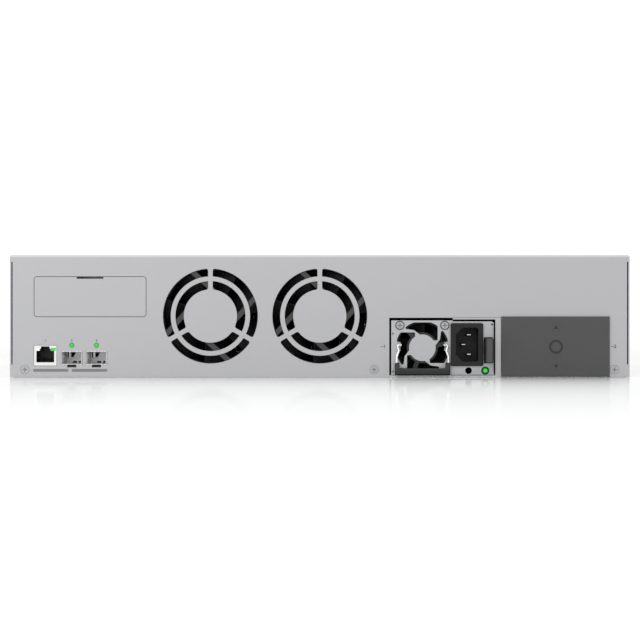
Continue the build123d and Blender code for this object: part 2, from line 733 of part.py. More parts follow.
def make_management_jack():
    """The rear jack: a bright shield around a black insert."""
    x = (JACK_X - JACK_W / 2, JACK_X + JACK_W / 2)
    z = (PCB_TOP, PCB_TOP + JACK_H)
    place = (JACK_X, jack_mouth_z(), 1, JACK_MOUTH_W, JACK_STEPS)
    half_w, half_h = JACK_LAMP_W / 2 + LAMP_PLAY, JACK_LAMP_H / 2 + LAMP_PLAY
    inner = (x[0] + SHIELD_T, x[1] - SHIELD_T)
    face = REAR
    with BuildPart() as shield:
        span(x, (face - JACK_DEPTH, face - SHIELD_T), z)
        span(
            inner,
            (face - JACK_DEPTH - 1, face),
            (z[0] - 1, z[1] - SHIELD_T),
            Mode.SUBTRACT,
        )
        with BuildSketch(facing_rear(face)):
            with Locations((JACK_X, sum(z) / 2)):
                Rectangle(JACK_W, JACK_H)
            mouth(*place)
            with Locations(*jack_lamps()):
                Rectangle(2 * half_w, 2 * half_h, mode=Mode.SUBTRACT)
        extrude(amount=SHIELD_T)
    save(shield, "mgmt_jack_shield")
    with BuildPart() as insert:
        with BuildSketch(facing_rear(face - SHIELD_T)):
            with Locations((JACK_X, (z[0] + z[1] - SHIELD_T) / 2)):
                Rectangle(JACK_W - 2 * SHIELD_T, JACK_H - SHIELD_T)
            mouth(*place)
        extrude(amount=MOUTH_DEPTH)
        span(
            inner,
            (face - JACK_DEPTH, face - SHIELD_T - MOUTH_DEPTH),
            (z[0], z[1] - SHIELD_T),
        )
        for lx, lz in jack_lamps():
            span(
                (lx - half_w, lx + half_w),
                (face - LAMP_DEPTH, face),
                (lz - half_h, lz + half_h),
                Mode.SUBTRACT,
            )
    save(insert, "mgmt_jack_insert")


def cage_box(x, face, inward):
    """An uplink cage: a thin tube open at its face, with a cut-out over its connector."""
    outer_x = (x - CAGE_W / 2, x + CAGE_W / 2)
    end = face + inward * CAGE_DEPTH
    span(outer_x, (face, end), (CAGE_LOW, CAGE_LOW + CAGE_H))
    span(
        (outer_x[0] + CAGE_T, outer_x[1] - CAGE_T),
        (face - inward, end - inward * CAGE_T),
        (CAGE_LOW + CAGE_T, CAGE_LOW + CAGE_H - CAGE_T),
        Mode.SUBTRACT,
    )
    span(
        (outer_x[0] + CAGE_T, outer_x[1] - CAGE_T),
        (end - inward * 10, end - inward * CAGE_T),
        (CAGE_LOW - 1, CAGE_LOW + 1),
        Mode.SUBTRACT,
    )


def cage_connector(x, face, inward):
    """The edge socket at a cage's inner end, standing on the board."""
    end = face + inward * CAGE_DEPTH
    y = (end - inward * 0.8, end - inward * 9.0)
    span((x - 5.6, x + 5.6), y, (PCB_TOP, CAGE_LOW + 7.2))
    span(
        (x - 4.6, x + 4.6),
        (end - inward * 3.0, end - inward * 10.0),
        (CAGE_LOW + 3.6, CAGE_LOW + 5.0),
        Mode.SUBTRACT,
    )


def make_cages_and_connectors():
    for number, x in enumerate(reversed(CAGE_X), 1):
        with BuildPart() as cage:
            cage_box(x, REAR + CAGE_PROUD, -1)
        save(cage, f"uplink_cage_{number}")
    with BuildPart() as front_cages:
        for x in FRONT_CAGE_X:
            cage_box(x, FRONT + CAGE_PROUD, 1)
    save(front_cages, "front_sfp_cages")
    with BuildPart() as connectors:
        for x in CAGE_X:
            cage_connector(x, REAR + CAGE_PROUD, -1)
        for x in FRONT_CAGE_X:
            cage_connector(x, FRONT + CAGE_PROUD, 1)
        for fan_x in FAN_X:
            x, _ = lead_start(fan_x)
            span((x - 9.0, x + 1.0), (125.0, 133.0), (PCB_TOP, PCB_TOP + 7.5))
        # the bridge from the main board to the rear port board, and the reset switch
        span((183, 200), (133, 149), (PCB_TOP, PCB_TOP + 4.0))
        span((RESET_X - 3, RESET_X + 3), (FRONT + 13.2, FRONT + 18), (PCB_TOP, RESET_Z + 3))
    save(connectors, "board_connectors")


def make_light_pipes():
    """Clear pipes that run over the cages to the two panel lamps."""
    back = REAR - 50.0
    with BuildPart() as pipes:
        for x in CAGE_X:
            rod(PIPE_R, (x, back, PIPE_Z), (x, REAR + 0.3, PIPE_Z))
            span(
                (x - PIPE_R, x + PIPE_R),
                (back - 2 * PIPE_R, back),
                (PCB_TOP, PIPE_Z + PIPE_R),
            )
    save(pipes, "uplink_light_pipes")


def make_status_lamps():
    with BuildPart() as lamps:
        for z in STATUS_Z:
            rod(1.25, (STATUS_X, FRONT - 0.1, z), (STATUS_X, FRONT + 12, z))
        span(
            (STATUS_X - 1.25, STATUS_X + 1.25),
            (FRONT + 10, FRONT + 12.5),
            (PCB_TOP, STATUS_Z[-1] + 1.25),
        )
    save(lamps, "status_lamps")


def make_reset_button():
    """A pin in the front plate with a collar behind it that keeps it captive."""
    with BuildPart() as button:
        rod(1.4, (RESET_X, FRONT + 0.5, RESET_Z), (RESET_X, FRONT + 12, RESET_Z))
        rod(2.6, (RESET_X, FRONT + 3.4, RESET_Z), (RESET_X, FRONT + 5, RESET_Z))
    save(button, "reset_button")


# --------------------------------------------------------------------- boards


def board_holes(limits):
    """Screw clearance holes for the standoffs that lie within the X and Y limits."""
    (x0, x1), (y0, y1) = limits
    for x, y in STANDOFFS:
        if x0 < x < x1 and y0 < y < y1:
            rod(1.6, (x, y, PCB_LOW - 1), (x, y, PCB_TOP + 1), Mode.SUBTRACT)


def make_boards():
    with BuildPart() as main:
        span((-214, 214), (-192, 12), (PCB_LOW, PCB_TOP))
        span((-44, 214), (12, 138), (PCB_LOW, PCB_TOP))
        board_holes(((-214, 214), (-192, 138)))
    save(main, "main_board")
    with BuildPart() as rear_ports:
        span((144, 209), (144, 197), (PCB_LOW, PCB_TOP))
        board_holes(((144, 209), (144, 197)))
    save(rear_ports, "io_board")
    with BuildPart() as backplane:
        span((-206, -50), (0, 1.6), (PCB_TOP, 40))
        for bay in (PSU_X, (PSU_X[0] - 79.2, PSU_X[1] - 79.2)):
            mid = sum(bay) / 2
            span((mid - 21, mid + 21), (1.6, 12.5), (PSU_PCB_Z[0] - 4, PSU_PCB_Z[1] + 4))
            span(
                (mid - 18.4, mid + 18.4),
                (3.5, 14),
                (PSU_PCB_Z[0] - 0.3, PSU_PCB_Z[1] + 0.3),
                Mode.SUBTRACT,
            )
    save(backplane, "power_backplane")


def heatsink(x, y, z, fins, fin_t):
    """A finned block: a base plate with upright fins that run front to rear."""
    base = 4.0
    span(x, y, (z[0], z[0] + base))
    step = (x[1] - x[0] - fin_t) / (fins - 1)
    for k in range(fins):
        left = x[0] + k * step
        span((left, left + fin_t), y, (z[0] + base, z[1]))


def make_board_parts():
    with BuildPart() as chips:
        span((32, 78), (-83, -37), (PCB_TOP, PCB_TOP + 3))
        for bx in BLOCK_X:
            for i in (-1, 1):
                span((bx + i * 22 - 9, bx + i * 22 + 9), (-151, -133), (PCB_TOP, 10.2))
    save(chips, "switch_chips")
    with BuildPart() as sinks:
        heatsink((15, 95), (-100, -20), (PCB_TOP + 3, 44), 17, 1.2)
        for bx in BLOCK_X:
            heatsink((bx - 38, bx + 38), (-156, -128), (10.2, 26), 13, 1.4)
    save(sinks, "heatsinks")
    with BuildPart() as capacitors:
        for x in (-190, -176, -162, -148):
            for y in (-40, -24):
                rod(5.0, (x, y, PCB_TOP), (x, y, PCB_TOP + 20))
    save(capacitors, "board_capacitors")


# ------------------------------------------------------------- expansion slot


def make_expansion_slot():
    inner_x = (SLOT_X - SLOT_W / 2 - 0.7, SLOT_X + SLOT_W / 2 + 0.7)
    inner_z = (SLOT_Z - SLOT_H / 2 - 0.7, SLOT_Z + SLOT_H / 2 + 0.7)
    back = PANEL_BACK - POCKET_DEPTH
    with BuildPart() as pocket:
        span(
            (inner_x[0] - 1, inner_x[1] + 1),
            (back, PANEL_BACK),
            (inner_z[0] - 1, inner_z[1] + 1),
        )
        span(inner_x, (back + 1, REAR), inner_z, Mode.SUBTRACT)
    save(pocket, "expansion_pocket")

    board_y = (back + 8.0, back + 8.8)
    card_x = (inner_x[0] + 7.0, inner_x[1] - 2.0)
    card_z = (SLOT_Z - 11.0, SLOT_Z + 11.0)
    with BuildPart() as socket:
        span((inner_x[0] + 1, card_x[0]), (back + 1, board_y[1] + 1.2), card_z)
    save(socket, "expansion_socket")
    with BuildPart() as card:
        span(card_x, board_y, card_z)
        end = card_x[1]
        rod(2.2, (end, board_y[0] - 1, SLOT_Z), (end, board_y[1] + 1, SLOT_Z), Mode.SUBTRACT)
        for left, width in ((8, 15), (27, 15), (46, 12)):
            span(
                (card_x[0] + left, card_x[0] + left + width),
                (board_y[1], board_y[1] + 1.2),
                (SLOT_Z - 8, SLOT_Z + 8),
            )
    save(card, "expansion_card")

    with BuildPart() as cover:
        with BuildSketch(facing_rear(REAR)):
            with Locations((SLOT_X, SLOT_Z)):
                RectangleRounded(SLOT_W, SLOT_H, SLOT_R)
            with Locations((SLOT_X, SLOT_Z + SLOT_H / 2)):
                Rectangle(NOTCH_W, 2 * NOTCH_H, mode=Mode.SUBTRACT)
        extrude(amount=PANEL_T)
        rim_x, rim_z, rim_t = SLOT_W / 2 - 1.5, SLOT_H / 2 - 2.5, 1.2
        rim_y = (PANEL_BACK - 5.0, PANEL_BACK)
        span(
            (SLOT_X - rim_x, SLOT_X + rim_x), rim_y, (SLOT_Z - rim_z, SLOT_Z + rim_z)
        )
        span(
            (SLOT_X - rim_x + rim_t, SLOT_X + rim_x - rim_t),
            rim_y,
            (SLOT_Z - rim_z + rim_t, SLOT_Z + rim_z - rim_t),
            Mode.SUBTRACT,
        )
    save(cover, "expansion_cover")


# --------------------------------------------------------------- power supply


def swirl_opening(turn):
    """One comma-shaped opening of the supply's fan grille, bounded by the fan's circle."""
    outline = [
        (13.5, 13.6),
        (13.5, 18.1),
        (-10.95, 18.1),
        (-10.95, 5.2),
        (-8.0, 5.2),
        (0.0, 8.0),
        (1.5, 9.2),
        (6.0, 12.6),
    ]
    with BuildSketch(facing_rear(REAR)) as opening:
        with BuildLine():
            Polyline(*outline, close=True)
        make_face()
        Circle(PSU_GRILLE_R, mode=Mode.INTERSECT)
        Circle(PSU_DISC, mode=Mode.SUBTRACT)
        sharp = [v for v in opening.vertices() if hypot(v.X, v.Y) > PSU_DISC + 0.3]
        fillet(sharp, 1.0)
    around = Axis((0, 0, 0), (0, 1, 0))
    turned = opening.sketch.rotate(around, turn)
    return turned.moved(Location((PSU_FAN_X, 0, PSU_FAN_Z)))


def psu_section(y, wall=0.0):
    """The supply's section at depth y: lower at its latch side, with one rounded corner."""
    (left, right), (low, top) = PSU_X, PSU_Z
    outline = [
        (left + wall, low + wall),
        (right - wall, low + wall),
        (right - wall, FACE_TALL - wall),
        (STRIP_STEP_X + wall, FACE_TALL - wall),
        (STRIP_STEP_X + wall, top - wall),
        (left + wall, top - wall),
    ]
    with BuildSketch(facing_rear(y)) as section:
        with BuildLine():
            Polyline(*outline, close=True)
        make_face()
        corner = section.vertices().sort_by(Axis.X)[:2].sort_by(Axis.Y)[-1]
        fillet(corner, FACE_CORNER - wall)
    return section.sketch


def make_psu_faceplate():
    slot_z = (9.8, 28.4)
    with BuildPart() as face:
        extrude(psu_section(REAR), amount=FACE_T)
        for turn in (0, 90, 180, 270):
            extrude(swirl_opening(turn), amount=FACE_T, mode=Mode.SUBTRACT)
        # ears that hold the handle's ends, with the strip of sheet they are bent from
        pivot_y, pivot_z = HANDLE_PIVOT
        for i in (-1, 1):
            ear = (PSU_FAN_X + i * EAR_X[0], PSU_FAN_X + i * EAR_X[1])
            strip = (PSU_FAN_X + i * EAR_X[0], PSU_FAN_X + i * 18.6)
            span(strip, (REAR - FACE_T, REAR), (pivot_z - 4.2, pivot_z + 2.2))
            span(ear, (REAR, pivot_y), (pivot_z - EAR_R, pivot_z + EAR_R))
            rod(EAR_R, (ear[0], pivot_y, pivot_z), (ear[1], pivot_y, pivot_z))
        with Locations((INLET_X, REAR - 0.5, INLET_Z)):
            Box(INLET_BODY[0] + 0.2, 3, INLET_BODY[1] + 0.2, mode=Mode.SUBTRACT)
        span((-123.5, -117.0), (REAR - 2, REAR + 1), slot_z, Mode.SUBTRACT)
        y = (REAR - 2, REAR + 8)
        for x, z, radius in (
            (-106.1, 4.6, 2.4),
            (-118.0, 4.6, 2.5),
            (-122.9, 37.6, 0.7),
            (-52.0, 31.0, 0.7),
            (-52.0, 4.0, 0.7),
        ):
            rod(radius, (x, y[0], z), (x, REAR + 1, z), Mode.SUBTRACT)
        for i in (-1, 1):
            x, z = PSU_FAN_X + i * PSU_HOLE_PITCH / 2, PSU_FAN_Z + PSU_HOLE_PITCH / 2
            rod(1.3, (x, y[0], z), (x, REAR + 1, z), Mode.SUBTRACT)
            rod(
                WIRE_R + 0.06,
                (PSU_FAN_X + i * 14, pivot_y, pivot_z),
                (PSU_FAN_X + i * 18, pivot_y, pivot_z),
                Mode.SUBTRACT,
            )
    save(face, "psu_faceplate")


def make_psu_case():
    """The supply's sheet case, closed at the inner end apart from vents and the board's slot."""
    t = PSU_T
    end = REAR - FACE_T
    px, py = LATCH_PIVOT
    with BuildPart() as case:
        extrude(psu_section(end), amount=end - PSU_END)
        hollow = psu_section(end, PSU_T)
        extrude(hollow, amount=end - PSU_END - t, mode=Mode.SUBTRACT)
        mid = sum(PSU_X) / 2
        span(
            (mid - 18.4, mid + 18.4),
            (PSU_END - 1, PSU_END + 2),
            (PSU_PCB_Z[0] - 0.3, PSU_PCB_Z[1] + 0.3),
            Mode.SUBTRACT,
        )
        for k in range(9):
            x = mid + (k - 4) * 7.0
            span((x - 2, x + 2), (PSU_END - 1, PSU_END + 2), (22, 36), Mode.SUBTRACT)
        # lugs and pin that the latch lever turns on
        for z in ((8.5, 11.0), (27.0, 29.5)):
            span((PSU_X[0] + t, px + 2), (py - 3, py + 3), z)
        rod(1.0, (px, py, 11.0), (px, py, 27.0))
    save(case, "psu_case")


def make_psu_inlet():
    """The mains inlet: flange, body and chamfered socket, with three blades."""
    floor = SOCKET_FLOOR
    with BuildPart() as inlet:
        with Locations((INLET_X, REAR - INLET_BODY[2] / 2, INLET_Z)):
            Box(INLET_BODY[0], INLET_BODY[2], INLET_BODY[1])
        with BuildSketch(facing_rear(REAR + FLANGE_T)):
            with Locations((INLET_X, INLET_Z)):
                RectangleRounded(INLET_W, INLET_H, 1.2)
        extrude(amount=FLANGE_T)
        fillet(inlet.faces().sort_by(Axis.Y)[-1].edges(), 0.5)
        with BuildSketch(facing_rear(REAR + FLANGE_T)) as socket:
            with Locations((INLET_X, INLET_Z)):
                Rectangle(SOCKET_W, SOCKET_H)
            chamfer(socket.vertices().group_by(Axis.X)[-1], 5.0)
            fillet(socket.vertices().group_by(Axis.X)[0], 1.8)
        extrude(amount=REAR + FLANGE_T - floor, mode=Mode.SUBTRACT)
    save(inlet, "psu_inlet")
    with BuildPart() as blades:
        for dx, dz in ((-1.75, 7.0), (2.2, 0.0), (-1.75, -7.0)):
            x, z = INLET_X + dx, INLET_Z + dz
            span((x - 1.9, x + 1.9), (floor, BLADE_TIP), (z - 0.9, z + 0.9))
        tips = blades.faces().group_by(Axis.Y)[-1].edges()
        chamfer(tips, 0.6)
    save(blades, "psu_inlet_blades")


def make_psu_inside():
    with BuildPart() as board:
        span((PSU_X[0] + 8, PSU_X[1] - 3), (PSU_END + 2, 142), PSU_PCB_Z)
        mid = sum(PSU_X) / 2
        span((mid - 18, mid + 18), (5, PSU_END + 2), PSU_PCB_Z)
    save(board, "psu_board")
    top = PSU_PCB_Z[1]
    with BuildPart() as parts:
        span((-96, -70), (60, 92), (top, top + 20))
        span((-99, -67), (68, 84), (top + 3, top + 17))
        for x in (-84, -68):
            rod(7.5, (x, 118, top), (x, 118, top + 22))
        heatsink((-112, -101), (30, 130), (top, top + 20), 3, 1.2)
        heatsink((-66, -56), (30, 100), (top, top + 20), 3, 1.2)
    save(parts, "psu_power_parts")
    with BuildPart() as screws:
        for i in (-1, 1):
            x, z = PSU_FAN_X + i * PSU_HOLE_PITCH / 2, PSU_FAN_Z + PSU_HOLE_PITCH / 2
            pan_screw((x, REAR, z), (0, 1, 0), 3.05, 1.5, 1.05, 5.0)
    save(screws, "psu_face_screws")
    with BuildPart() as lamp:
        rod(2.4, (-118.0, REAR - 2.0, 4.6), (-118.0, REAR + 0.8, 4.6))
        fillet(lamp.faces().sort_by(Axis.Y)[-1].edges(), 0.7)
    save(lamp, "psu_lamp")


def make_psu_handle():
    """A wire bail whose ends turn inwards through the ears, with a moulded grip below."""
    y, z = HANDLE_PIVOT
    low = 4.2
    # X from the fan's centre and Z along one arm, from its end in the ear down to the grip
    arm_route = [
        (15.0, z),
        (HANDLE_HALF, z),
        (HANDLE_HALF - 1.1, z - 4.2),
        (HANDLE_HALF + 0.4, z - 8.3),
        (HANDLE_HALF + 0.4, low),
    ]
    with BuildPart() as wire:
        points = [(PSU_FAN_X - dx, y, pz) for dx, pz in arm_route]
        points += [(PSU_FAN_X + dx, y, pz) for dx, pz in reversed(arm_route)]
        with BuildLine() as route:
            FilletPolyline(*points, radius=[1.1, 2.4, 2.4, 1.6, 1.6, 2.4, 2.4, 1.1])
        with BuildSketch(Plane(origin=points[0], z_dir=(-1, 0, 0))):
            Circle(WIRE_R)
        sweep(path=route.line)
    save(wire, "psu_handle_wire")
    half, bar, arm = 19.8, 5.2, 3.4
    with BuildPart() as grip:
        with BuildSketch(facing_rear(y + 2.2)):
            with Locations((PSU_FAN_X, 1.2)):
                RectangleRounded(2 * half, 9.2, 1.6, align=(Align.CENTER, Align.MIN))
            with Locations((PSU_FAN_X, 1.2 + bar)):
                Rectangle(
                    2 * (half - arm),
                    9.2,
                    align=(Align.CENTER, Align.MIN),
                    mode=Mode.SUBTRACT,
                )
        extrude(amount=4.2)
        long_edges = grip.edges().filter_by(Axis.X)
        fillet([e for e in long_edges if e.length > 20], 1.5)
        add(wire.part, mode=Mode.SUBTRACT)
    save(grip, "psu_handle_grip")


def make_psu_latch():
    """A lever on the case's pin whose moulded thumb tab stands out through the face."""
    px, py = LATCH_PIVOT
    z = (12.0, 26.0)
    with BuildPart() as latch:
        with BuildSketch(Plane.XY.offset(10.4)):
            with Locations((-120.15, REAR + 3.4)):
                RectangleRounded(6.2, 8.6, 2.4, align=(Align.CENTER, Align.MIN))
        extrude(amount=17.2)
        fillet(latch.edges().filter_by(Plane.XY), 0.7)
        rod(2.0, (px, py, z[0]), (px, py, z[1]))
        span((px - 0.6, px + 0.6), (py, REAR - 2), z)
        span((px - 1.4, px + 0.6), (REAR - 6, REAR + 4), (10.8, 27.2))
        rod(1.06, (px, py, 0), (px, py, 40), Mode.SUBTRACT)
    save(latch, "psu_latch")


def make_bay_blank():
    """The plastic cover of the spare bay: a face plate with a hollow plug behind it."""
    x, z = (-206.6, -129.4), (0.4, 43.2)
    plug_x, plug_z, t = (-204.9, -130.3), (2.6, 40.8), 1.6
    seat, thickness = REAR + 0.05, 1.6
    mark_x, mark_z = -168.3, 21.6
    with BuildPart() as blank:
        span(x, (seat, seat + thickness), z)
        fillet(blank.faces().sort_by(Axis.Y)[-1].edges(), 0.5)
        span(plug_x, (REAR - 24, seat), plug_z)
        span(
            (plug_x[0] + t, plug_x[1] - t),
            (REAR - 25, seat),
            (plug_z[0] + t, plug_z[1] - t),
            Mode.SUBTRACT,
        )
        # two pointers and a plain ring, sunk into the face
        with BuildSketch(facing_rear(seat + thickness)):
            for dz, turn in ((13.6, 90), (-13.6, -90)):
                with Locations((mark_x, mark_z + dz)):
                    RegularPolygon(1.9, 3, rotation=turn)
            with Locations((mark_x, mark_z)):
                Circle(5.0)
                Circle(3.4, mode=Mode.SUBTRACT)
        extrude(amount=0.4, mode=Mode.SUBTRACT)
    save(blank, "bay_blank")


make_base_tray()
make_top_cover()
make_rear_panel()
make_front_panel()
make_intake_grille()
make_psu_cage()
make_fan_bracket()
make_chassis_screws()
make_ear_nuts()
make_standoffs_and_screws()
make_fan_screws()
for number, fan_x in enumerate(FAN_X, 1):
    make_fan(
        f"fan_{number}",
        (fan_x, FAN_Z),
        PANEL_BACK,
        FAN_SIDE,
        FAN_DEPTH,
        FAN_BORE,
        FAN_HUB,
        FAN_HOLE_PITCH,
        7,
        FAN_STRUTS,
        lead_start(fan_x),
    )
make_fan(
    "psu_fan",
    (PSU_FAN_X, PSU_FAN_Z),
    REAR - FACE_T,
    PSU_FAN_SIDE,
    PSU_FAN_DEPTH,
    PSU_FAN_BORE,
    PSU_FAN_HUB,
    PSU_HOLE_PITCH,
    5,
    PSU_STRUTS,
)
make_fan_leads()
make_port_blocks()
make_management_jack()
make_cages_and_connectors()
make_light_pipes()
make_status_lamps()
make_reset_button()
make_boards()
make_board_parts()
make_expansion_slot()
make_psu_faceplate()
make_psu_case()
make_psu_inlet()
make_psu_inside()
make_psu_handle()
make_psu_latch()
make_bay_blank()
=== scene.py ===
"""The looks of a rackmount network switch: materials, printed marks and small fittings.

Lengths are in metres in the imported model's frame: +X right seen from the port face, +Y towards
the rear panel, +Z up. The rear panel is the side that the camera looks at.
"""

import json
import math

import bmesh
import bpy
from mathutils import Matrix, Vector


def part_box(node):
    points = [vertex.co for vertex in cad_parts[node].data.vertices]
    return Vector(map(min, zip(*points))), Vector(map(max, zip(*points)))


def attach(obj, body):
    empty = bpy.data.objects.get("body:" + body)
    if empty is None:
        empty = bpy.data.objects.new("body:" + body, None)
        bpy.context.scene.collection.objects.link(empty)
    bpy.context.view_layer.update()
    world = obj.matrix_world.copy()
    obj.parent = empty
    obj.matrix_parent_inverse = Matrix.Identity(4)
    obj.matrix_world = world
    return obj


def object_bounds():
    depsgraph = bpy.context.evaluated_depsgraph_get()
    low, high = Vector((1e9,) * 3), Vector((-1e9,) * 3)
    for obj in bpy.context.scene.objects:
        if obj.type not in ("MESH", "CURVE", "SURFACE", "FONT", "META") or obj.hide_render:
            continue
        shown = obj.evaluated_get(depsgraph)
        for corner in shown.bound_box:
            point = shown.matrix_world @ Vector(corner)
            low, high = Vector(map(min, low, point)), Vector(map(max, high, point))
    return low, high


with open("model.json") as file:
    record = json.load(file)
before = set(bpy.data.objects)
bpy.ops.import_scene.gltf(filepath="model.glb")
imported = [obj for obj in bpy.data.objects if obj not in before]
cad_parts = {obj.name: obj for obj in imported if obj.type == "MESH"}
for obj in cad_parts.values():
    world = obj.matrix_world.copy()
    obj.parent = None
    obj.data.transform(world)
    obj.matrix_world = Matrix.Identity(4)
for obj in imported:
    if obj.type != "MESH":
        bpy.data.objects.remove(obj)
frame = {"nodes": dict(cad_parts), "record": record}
cad_low, cad_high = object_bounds()

MM = 0.001
X, Y, Z = range(3)
SCENE = bpy.context.scene
NODES = frame["nodes"]

# ------------------------------------------------------------------ landmarks

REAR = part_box("rear_panel")[1].y
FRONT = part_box("front_panel")[0].y


def middle(node):
    """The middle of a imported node's box."""
    low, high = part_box(node)
    return (low + high) / 2


JACK = middle("mgmt_jack_shield")
UPLINKS = [middle("uplink_cage_1"), middle("uplink_cage_2")]
PSU_LAMP = middle("psu_lamp")
LATCH_LOW, LATCH_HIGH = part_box("psu_latch")


# ------------------------------------------------------------ material helpers


def shader(name):
    """A new material; returns it with its node tree and its Principled shader."""
    made = bpy.data.materials.new(name)
    made.use_nodes = True
    tree = made.node_tree
    return made, tree, tree.nodes["Principled BSDF"]


def place(tree):
    """The surface point in the model's frame."""
    return tree.nodes.new("ShaderNodeTexCoord").outputs["Object"]


def stretched(tree, vector, scale):
    """The point with each axis scaled, so that a noise read there is drawn out."""
    node = tree.nodes.new("ShaderNodeVectorMath")
    node.operation = "MULTIPLY"
    tree.links.new(vector, node.inputs[0])
    node.inputs[1].default_value = scale
    return node.outputs[0]


def noise(tree, vector, scale, detail=3.0, rough=0.5):
    """A cloudy value, mostly near a half, with scale features to the metre."""
    node = tree.nodes.new("ShaderNodeTexNoise")
    node.inputs["Scale"].default_value = scale
    node.inputs["Detail"].default_value = detail
    node.inputs["Roughness"].default_value = rough
    tree.links.new(vector, node.inputs["Vector"])
    return node.outputs["Fac"]


def remap(tree, value, low, high, start=0.0, end=1.0):
    """A value from low to high as the one given goes from start to end."""
    node = tree.nodes.new("ShaderNodeMapRange")
    node.inputs["From Min"].default_value = start
    node.inputs["From Max"].default_value = end
    node.inputs["To Min"].default_value = low
    node.inputs["To Max"].default_value = high
    tree.links.new(value, node.inputs["Value"])
    return node.outputs["Result"]


def between(tree, factor, dark, light):
    """A colour from dark to light as the factor goes from 0 to 1."""
    node = tree.nodes.new("ShaderNodeMix")
    node.data_type = "RGBA"
    tree.links.new(factor, node.inputs["Factor"])
    for socket, value in ((6, dark), (7, light)):
        if hasattr(value, "is_linked"):
            tree.links.new(value, node.inputs[socket])
        else:
            node.inputs[socket].default_value = (*value, 1.0)
    return node.outputs[2]


def maths(tree, operation, a, b=None):
    """One operation on one or two values, each a socket or a number."""
    node = tree.nodes.new("ShaderNodeMath")
    node.operation = operation
    for socket, value in zip(node.inputs, (a, b)):
        if value is None:
            continue
        if hasattr(value, "is_linked"):
            tree.links.new(value, socket)
        else:
            socket.default_value = value
    return node.outputs[0]


def axes(tree, vector):
    """A point's X, Y and Z."""
    node = tree.nodes.new("ShaderNodeSeparateXYZ")
    tree.links.new(vector, node.inputs[0])
    return node.outputs


def bumped(tree, bsdf, height, strength, distance):
    """Lets a value show as relief on the shader."""
    node = tree.nodes.new("ShaderNodeBump")
    node.inputs["Strength"].default_value = strength
    node.inputs["Distance"].default_value = distance
    tree.links.new(height, node.inputs["Height"])
    tree.links.new(node.outputs["Normal"], bsdf.inputs["Normal"])


def length(tree, a, b):
    """How far a step leads that goes a along one axis and b along another."""
    squares = [maths(tree, "MULTIPLY", side, side) for side in (a, b)]
    return maths(tree, "SQRT", maths(tree, "ADD", *squares))


def shades(colour, vary):
    """A colour's darker and lighter neighbours."""
    dark = tuple(c * (1 - vary) for c in colour)
    light = tuple(min(1.0, c * (1 + vary)) for c in colour)
    return dark, light


def grained(tree, bsdf, at, scale, gloss, strength, relief=0.04 * MM):
    """Fine grain, which shows in the roughness, between two values, and in relief."""
    grains = noise(tree, at, scale, detail=2.0)
    tree.links.new(remap(tree, grains, *gloss), bsdf.inputs["Roughness"])
    bumped(tree, bsdf, grains, strength, relief)


def rolling_marks(tree, at, grain_axis):
    """Fine lines drawn out along one axis."""
    scale = [2600.0, 2600.0, 2600.0]
    scale[grain_axis] = 60.0
    return noise(tree, stretched(tree, at, scale), 1.0, detail=4.0, rough=0.6)


def moulded(name, colour, rough, grain_mm=0.6, grain=0.35, vary=0.12, specular=0.5):
    """Moulded plastic: fine spark-eroded grain, faint colour drift, uneven gloss."""
    made, tree, bsdf = shader(name)
    at = place(tree)
    drift = noise(tree, at, 45.0)
    tree.links.new(between(tree, drift, *shades(colour, vary)), bsdf.inputs["Base Color"])
    grained(tree, bsdf, at, 1.0 / (grain_mm * MM), (rough - 0.06, rough + 0.08), grain)
    bsdf.inputs["Specular IOR Level"].default_value = specular
    return made


def sheet_metal(name, colour, rough, grain_axis, vary=0.06, metal=1.0, brush=0.25):
    """Bare or plated sheet, with rolling marks drawn out along one axis."""
    made, tree, bsdf = shader(name)
    at = place(tree)
    lines = rolling_marks(tree, at, grain_axis)
    cloud = noise(tree, at, 70.0, detail=4.0, rough=0.6)
    mixed = maths(tree, "MULTIPLY_ADD", lines, 0.4)
    tree.links.new(remap(tree, cloud, 0.0, 0.6), mixed.node.inputs[2])
    tree.links.new(between(tree, mixed, *shades(colour, vary)), bsdf.inputs["Base Color"])
    tree.links.new(
        remap(tree, mixed, rough - 0.05, rough + 0.1), bsdf.inputs["Roughness"]
    )
    bumped(tree, bsdf, lines, brush, 0.02 * MM)
    bsdf.inputs["Metallic"].default_value = metal
    return made


# ------------------------------------------------------------------- materials


def silver_coat():
    """Fine-textured silver powder coat: orange peel, metallic fleck, and a painted highlight
    along the roof's lip.
    """
    made, tree, bsdf = shader("silver_coat")
    at = place(tree)
    _, y, z = axes(tree, at)
    # Painted highlight: the coat turns paler along the roof's lip at its ends, where the bend
    # would catch the light.
    lip = remap(tree, z, 0.0, 1.0, cad_high.z - 1.7 * MM, cad_high.z - 1.2 * MM)
    along = maths(tree, "ABSOLUTE", y)
    ends = remap(tree, along, 0.0, 1.0, REAR - 1.8 * MM, REAR - 1.2 * MM)
    painted_highlight = maths(tree, "MULTIPLY", lip, ends)
    fleck = noise(tree, at, 5200.0, detail=1.0)
    cloud = noise(tree, at, 9.0, rough=0.55)
    tone = maths(tree, "MULTIPLY_ADD", fleck, 0.5)
    tree.links.new(remap(tree, cloud, 0.0, 0.5), tone.node.inputs[2])
    coated = between(tree, tone, (0.42, 0.42, 0.431), (0.463, 0.463, 0.474))
    tree.links.new(
        between(tree, painted_highlight, coated, (0.58, 0.58, 0.585)), bsdf.inputs["Base Color"]
    )
    grained(tree, bsdf, at, 1700.0, (0.42, 0.58), 0.35, 0.05 * MM)
    bsdf.inputs["Metallic"].default_value = 0.35
    bsdf.inputs["Specular IOR Level"].default_value = 0.4
    return made


